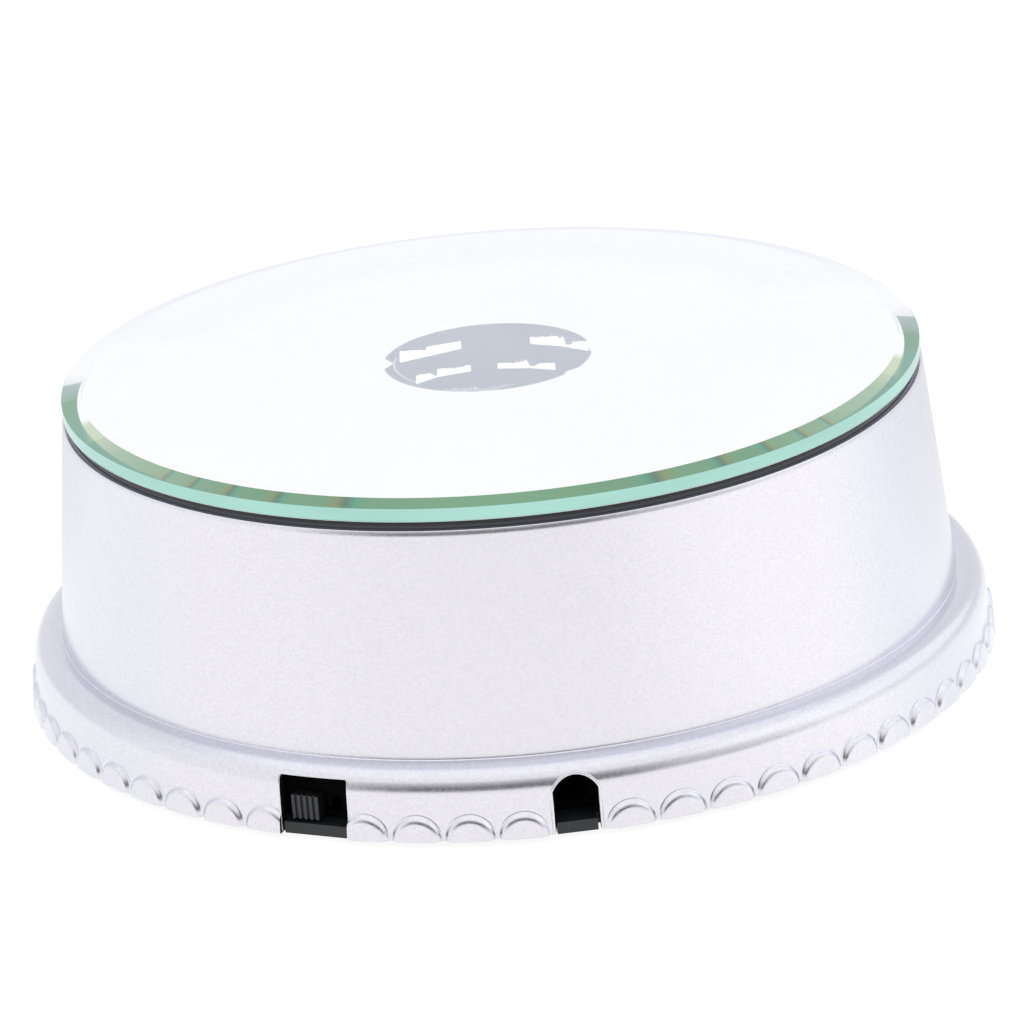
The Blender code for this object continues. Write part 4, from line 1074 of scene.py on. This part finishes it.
def build_screw(number, deg):
    """Cross-headed screw, head down."""
    x, y = polar(SCREW_CIRCLE, deg)
    neck = HEAD_Z + HEAD_HEIGHT
    root = SHANK_R * 0.8
    profile = [
        (0, HEAD_Z), (HEAD_R * 0.55, HEAD_Z), (HEAD_R * 0.85, HEAD_Z + HEAD_HEIGHT * 0.22),
        (HEAD_R, HEAD_Z + HEAD_HEIGHT * 0.55), (HEAD_R, neck), (SHANK_R, neck)]
    turns = int(SHANK_LENGTH / 1.1)
    pitch = (SHANK_LENGTH - 1.2) / turns
    for k in range(turns):
        start = neck + 0.4 + k * pitch
        profile += [(root, start), (SHANK_R, start + pitch * 0.5)]
    tip = neck + SHANK_LENGTH
    profile += [(root, tip - 0.8), (SHANK_R * 0.3, tip), (0, tip)]
    screw = make_object(f"plate_screw_{number}", lathe(profile, 40, centre=(x, y)), "steel",
                        angle=25.0)
    w, l = HEAD_R * 0.16, HEAD_R * 0.55     # half width and half length of the cross
    cross = [(-w, -l), (w, -l), (w, -w), (l, -w), (l, w), (w, w),
             (w, l), (-w, l), (-w, w), (-l, w), (-l, -w), (-w, -w)]
    cutter = prism([(x + dx, y + dy) for dx, dy in cross], HEAD_Z - 1.0,
                   HEAD_Z + HEAD_HEIGHT * 0.65)
    boolean(screw, cutter, "DIFFERENCE")
    set_sharp(screw, 25)
    register(screw, "base", f"base_screw_{number}")


build_plate()
for i, foot_angle in enumerate(FOOT_ANGLES):
    build_foot(i + 1, foot_angle)
for i, screw_angle in enumerate(SCREW_ANGLES):
    build_screw(i + 1, screw_angle)

# ==============================================================================================
# slide switch and power socket
# ==============================================================================================
KNOB_SIDE, KNOB_HALF, KNOB_RIBS = -1.95, 2.8, 5
KNOB_BACK, KNOB_FRONT = 87.1, 89.7
SOCKET_Z = 7.4


def build_switch():
    body = make_object("switch_housing",
                       front_box(SWITCH_AZ, (-8.0, 8.0), (78.5, 86.75), (3.75, 10.9)), "pit_black")
    boolean(body, front_box(SWITCH_AZ, (-5.7, 5.7), (80.4, 85.6), (4.35, 8.4)), "DIFFERENCE")
    boolean(body, front_box(SWITCH_AZ, (-3.75, 3.75), (84.0, 88.0), (4.65, 7.65)), "DIFFERENCE")
    bevel(body, 0.12)
    register(body, "base", "switch_body")


def knob_outline():
    """Plan of the knob's head: rounded ribs across a square block."""
    points = [(KNOB_SIDE - KNOB_HALF, KNOB_BACK), (KNOB_SIDE + KNOB_HALF, KNOB_BACK)]
    width = 2 * KNOB_HALF / KNOB_RIBS
    for k in range(KNOB_RIBS):
        centre = KNOB_SIDE + KNOB_HALF - width * (k + 0.5)
        for q in range(7):
            a = math.pi * q / 6
            points.append((centre + width * 0.36 * math.cos(a),
                           KNOB_FRONT - 0.42 + 0.42 * math.sin(a)))
        if k < KNOB_RIBS - 1:
            points.append((centre - width * 0.5, KNOB_FRONT - 0.55))
    return [front(side, out, SWITCH_AZ) for side, out in points]


def build_knob():
    knob = make_object("ribbed_knob", prism(knob_outline(), 3.9, 8.4), "knob_grey")
    # stem and slider plate behind the head
    for half, out, z in ((1.25, (84.6, 87.6), (4.95, 7.35)), (3.2, (81.0, 85.2), (4.75, 8.0))):
        sides = (KNOB_SIDE - half, KNOB_SIDE + half)
        boolean(knob, front_box(SWITCH_AZ, sides, out, z), "UNION")
    # only the outward faces of the ribs are grey; the sides and the top get the near-black finish
    # as painted shade
    knob.data.materials.append(FINISHES["inner_black"])
    look = outward(SWITCH_AZ)
    crown = max(face.center.dot(look) for face in knob.data.polygons) * 88.2 / KNOB_FRONT
    for face in knob.data.polygons:
        lit_rib_face = face.normal.dot(look) > 0.25 and face.center.dot(look) > crown
        face.material_index = 0 if lit_rib_face else 1
    bevel(knob, 0.08)
    register(knob, "switch_slider", "switch_knob")


def radial_tube(az, height, profile, segments):
    """Turned shape about a radial axis; the profile is (radius, distance from the Z axis)."""
    side = Vector((cosine(az), sine(az), 0))
    bm = lathe(profile, segments)
    for vert in bm.verts:
        x, y, z = vert.co
        vert.co = Vector((*front(0, z, az), height)) + side * x + Vector((0, 0, y))
    return bm


def build_socket():
    body = make_object("socket_body",
                       front_box(SOCKET_AZ, (-4.6, 4.6), (71.0, 85.3), (3.75, 11.1)), "pit_black")
    bore = radial_tube(SOCKET_AZ, SOCKET_Z, [(0, 74.0), (2.9, 74.0), (2.9, 87.0), (0, 87.0)], 48)
    boolean(body, bore, "DIFFERENCE")
    bevel(body, 0.15)
    register(body, "base", "jack_body")
    pin = radial_tube(SOCKET_AZ, SOCKET_Z, [
        (0, 74.3), (0.95, 74.3), (0.95, 81.2), (0.6, 81.8), (0.35, 81.8), (0.35, 79.0),
        (0, 79.0)], 32)
    register(make_object("socket_pin", pin, "contact"), "base", "jack_pin")


build_switch()
build_knob()
build_socket()


# ==============================================================================================
# stage: floor, world, light, camera (metres)
# ==============================================================================================
def floor_material():
    """Pale glowing floor; the camera sees it even, other rays get it brighter or dimmer."""
    mat = Material("pale_floor")
    position = mat.xyz(mat.coord)
    reach = mat.length(position)
    rightward = mat.div(mat.dot(position, VIEW_RIGHT), reach)
    nearer = mat.div(mat.sub(mat.mul(position[0], VIEW_SIN), mat.mul(position[1], VIEW_COS)),
                     reach)
    right = mat.mul(mat.ramp(rightward, span=(0.30, 0.85), smooth=True),
                    mat.ramp(nearer, span=(-0.35, -0.05), smooth=True))
    beyond = mat.ramp(nearer, span=(-0.30, -0.85), smooth=True)
    # brighter to the right, dimmer beyond, and a little dimmer all over
    lift = mat.sub(mat.mul(right, 0.10), mat.mul(beyond, 0.19))
    unseen = mat.sub(1.0, mat.light_path()["Is Camera Ray"])
    lift = mat.mul(mat.sub(lift, 0.055), unseen)
    return mat.shade(Base_Color=(0.22, 0.22, 0.22), Roughness=0.9, Specular_IOR_Level=0.0,
                     Emission_Color=(1.0, 1.0, 1.0), Emission_Strength=mat.add(0.92, lift))


def build_floor():
    floor = bpy.data.objects.new("floor", bpy.data.meshes.new("floor"))
    bm = bmesh.new()
    bmesh.ops.create_grid(bm, x_segments=1, y_segments=1, size=6.0)
    bmesh.ops.translate(bm, vec=(0, 0, -0.00005), verts=bm.verts)
    bm.to_mesh(floor.data)
    bm.free()
    bpy.context.scene.collection.objects.link(floor)
    floor.data.materials.append(floor_material())


def build_world():
    """Pale room: dark low panel on the viewer's side, bright areas to the right and above, and
    a backdrop that ends low down beyond the object, seen only through the glass."""
    world = bpy.data.worlds.new("studio")
    bpy.context.scene.world = world
    world.use_nodes = True
    sky = Nodes(world.node_tree)
    sky.tree.nodes.clear()
    direction = sky.xyz(sky.node("ShaderNodeTexCoord").outputs["Generated"])
    z = direction[2]
    flat = sky.length(direction)

    # dark panel, centred 10 degrees to the right of the camera and weaker at its right
    panel = (sine(VIEW_AZ + 10.0), -cosine(VIEW_AZ + 10.0))
    toward = sky.div(sky.dot(direction, panel), flat)
    side = sky.ramp(toward, span=(cosine(70), cosine(30)), smooth=True)
    low = sky.ramp(z, span=(-0.03, 0.03), smooth=True)
    high = sky.ramp(z, span=(0.16, 0.62), to=(1.0, 0.0), smooth=True)
    through = sky.light_path()["Is Transmission Ray"]
    opaque = sky.sub(1.0, through)
    dark = sky.mul(side, low, high, opaque)
    rightward = sky.dot(direction, VIEW_RIGHT)
    dark = sky.mul(dark, sky.ramp(rightward, span=(0.30, 0.62), to=(1.0, 0.5), smooth=True))

    rear = sky.mul(sky.ramp(toward, span=(-0.25, -0.75)), opaque)
    tone = sky.mix(through, (1.0, 1.005, 1.03), (1.054, 1.039, 1.068))
    tone = sky.mix(rear, tone, (0.88, 0.885, 0.915))
    rightward = sky.dot(direction, VIEW_RIGHT)
    bright = sky.mul(sky.ramp(rightward, span=(0.52, 0.66), smooth=True),
                     sky.mul(sky.ramp(z, span=(0.16, 0.24)), opaque))
    tone = sky.mix(bright, tone, (1.22, 1.225, 1.25))
    above = sky.mul(sky.ramp(z, span=(0.72, 0.88), smooth=True), opaque)
    tone = sky.mix(above, tone, (1.12, 1.125, 1.16))
    tone = sky.mix(dark, tone, (0.10, 0.10, 0.11))

    # end of the backdrop: two wings and the middle between them
    away = sky.div(sky.dot(direction, VIEW_AWAY), flat)
    wings = sky.mul(sky.ramp(away, span=(cosine(26), cosine(23))),
                    sky.ramp(away, span=(cosine(9), cosine(10.5))))
    wings = sky.mul(wings, sky.ramp(z, span=(0.300, 0.314), to=(1.0, 0.0)), through)
    wing_tone = sky.mix(sky.ramp(z, span=(0.05, 0.30)), (0.34, 0.45, 0.43), (0.42, 0.49, 0.54))
    tone = sky.mix(wings, tone, wing_tone)
    middle = sky.mul(sky.ramp(away, span=(cosine(10), cosine(8))),
                     sky.ramp(z, span=(0.165, 0.195), to=(1.0, 0.0)), through)
    tone = sky.mix(middle, tone, (0.62, 0.72, 0.52))
    background = sky.node("ShaderNodeBackground", Color=tone, Strength=1.0)
    sky.node("ShaderNodeOutputWorld", Surface=background.outputs[0])


def build_light():
    """Soft disc overhead, hidden from reflections and from the glass."""
    data = bpy.data.lights.new("top_light", "AREA")
    data.shape = "DISK"
    data.size = 0.9
    data.energy = 1.2
    data.color = (1, 1, 1)
    lamp = bpy.data.objects.new("top_light", data)
    place, target = Vector((-0.3, 0.2, 1.2)), Vector((0, 0, 0.03))
    lamp.location = place
    lamp.rotation_euler = (target - place).to_track_quat("-Z", "Y").to_euler()
    bpy.context.scene.collection.objects.link(lamp)
    lamp.visible_glossy = False
    lamp.visible_transmission = False


# laid out facing the view
CAMERA_EYE = Vector((0.0, -0.9728, 0.385316))
CAMERA_AIM = Vector((0.001856, 0.0, 0.028492))
CAMERA_ROLL = -0.0811           # radians
CAMERA_LENS = 193.5603984       # focal length in mm, on a 36 mm sensor


def turned(vector):
    return Vector((*facing(vector.x, vector.y), vector.z))


def build_camera():
    ahead = (CAMERA_AIM - CAMERA_EYE).normalized()
    right = ahead.cross(Vector((0, 0, 1))).normalized()
    up = right.cross(ahead)
    roll_cos, roll_sin = math.cos(CAMERA_ROLL), math.sin(CAMERA_ROLL)
    axes = (right * roll_cos + up * roll_sin, up * roll_cos - right * roll_sin, -ahead)
    data = bpy.data.cameras.new("camera")
    data.sensor_width = 36.0
    data.lens = CAMERA_LENS
    data.clip_start, data.clip_end = 0.05, 50.0
    camera = bpy.data.objects.new("camera", data)
    camera.matrix_world = Matrix([turned(axis) for axis in axes]).transposed().to_4x4()
    camera.location = turned(CAMERA_EYE)
    bpy.context.scene.collection.objects.link(camera)
    bpy.context.scene.camera = camera


def set_render():
    scene = bpy.context.scene
    scene.view_settings.view_transform = "Standard"
    scene.view_settings.look = "None"
    cycles = scene.cycles
    cycles.max_bounces = 28             # many, for the paths inside the glass
    cycles.transmission_bounces = 26
    cycles.glossy_bounces = 16
    cycles.diffuse_bounces = 5
    cycles.transparent_max_bounces = 16
    cycles.use_denoising = True
    cycles.sample_clamp_indirect = 6.0
    cycles.seed = 3


build_floor()
build_world()
build_light()
build_camera()
set_render()

bpy.context.view_layer.update()
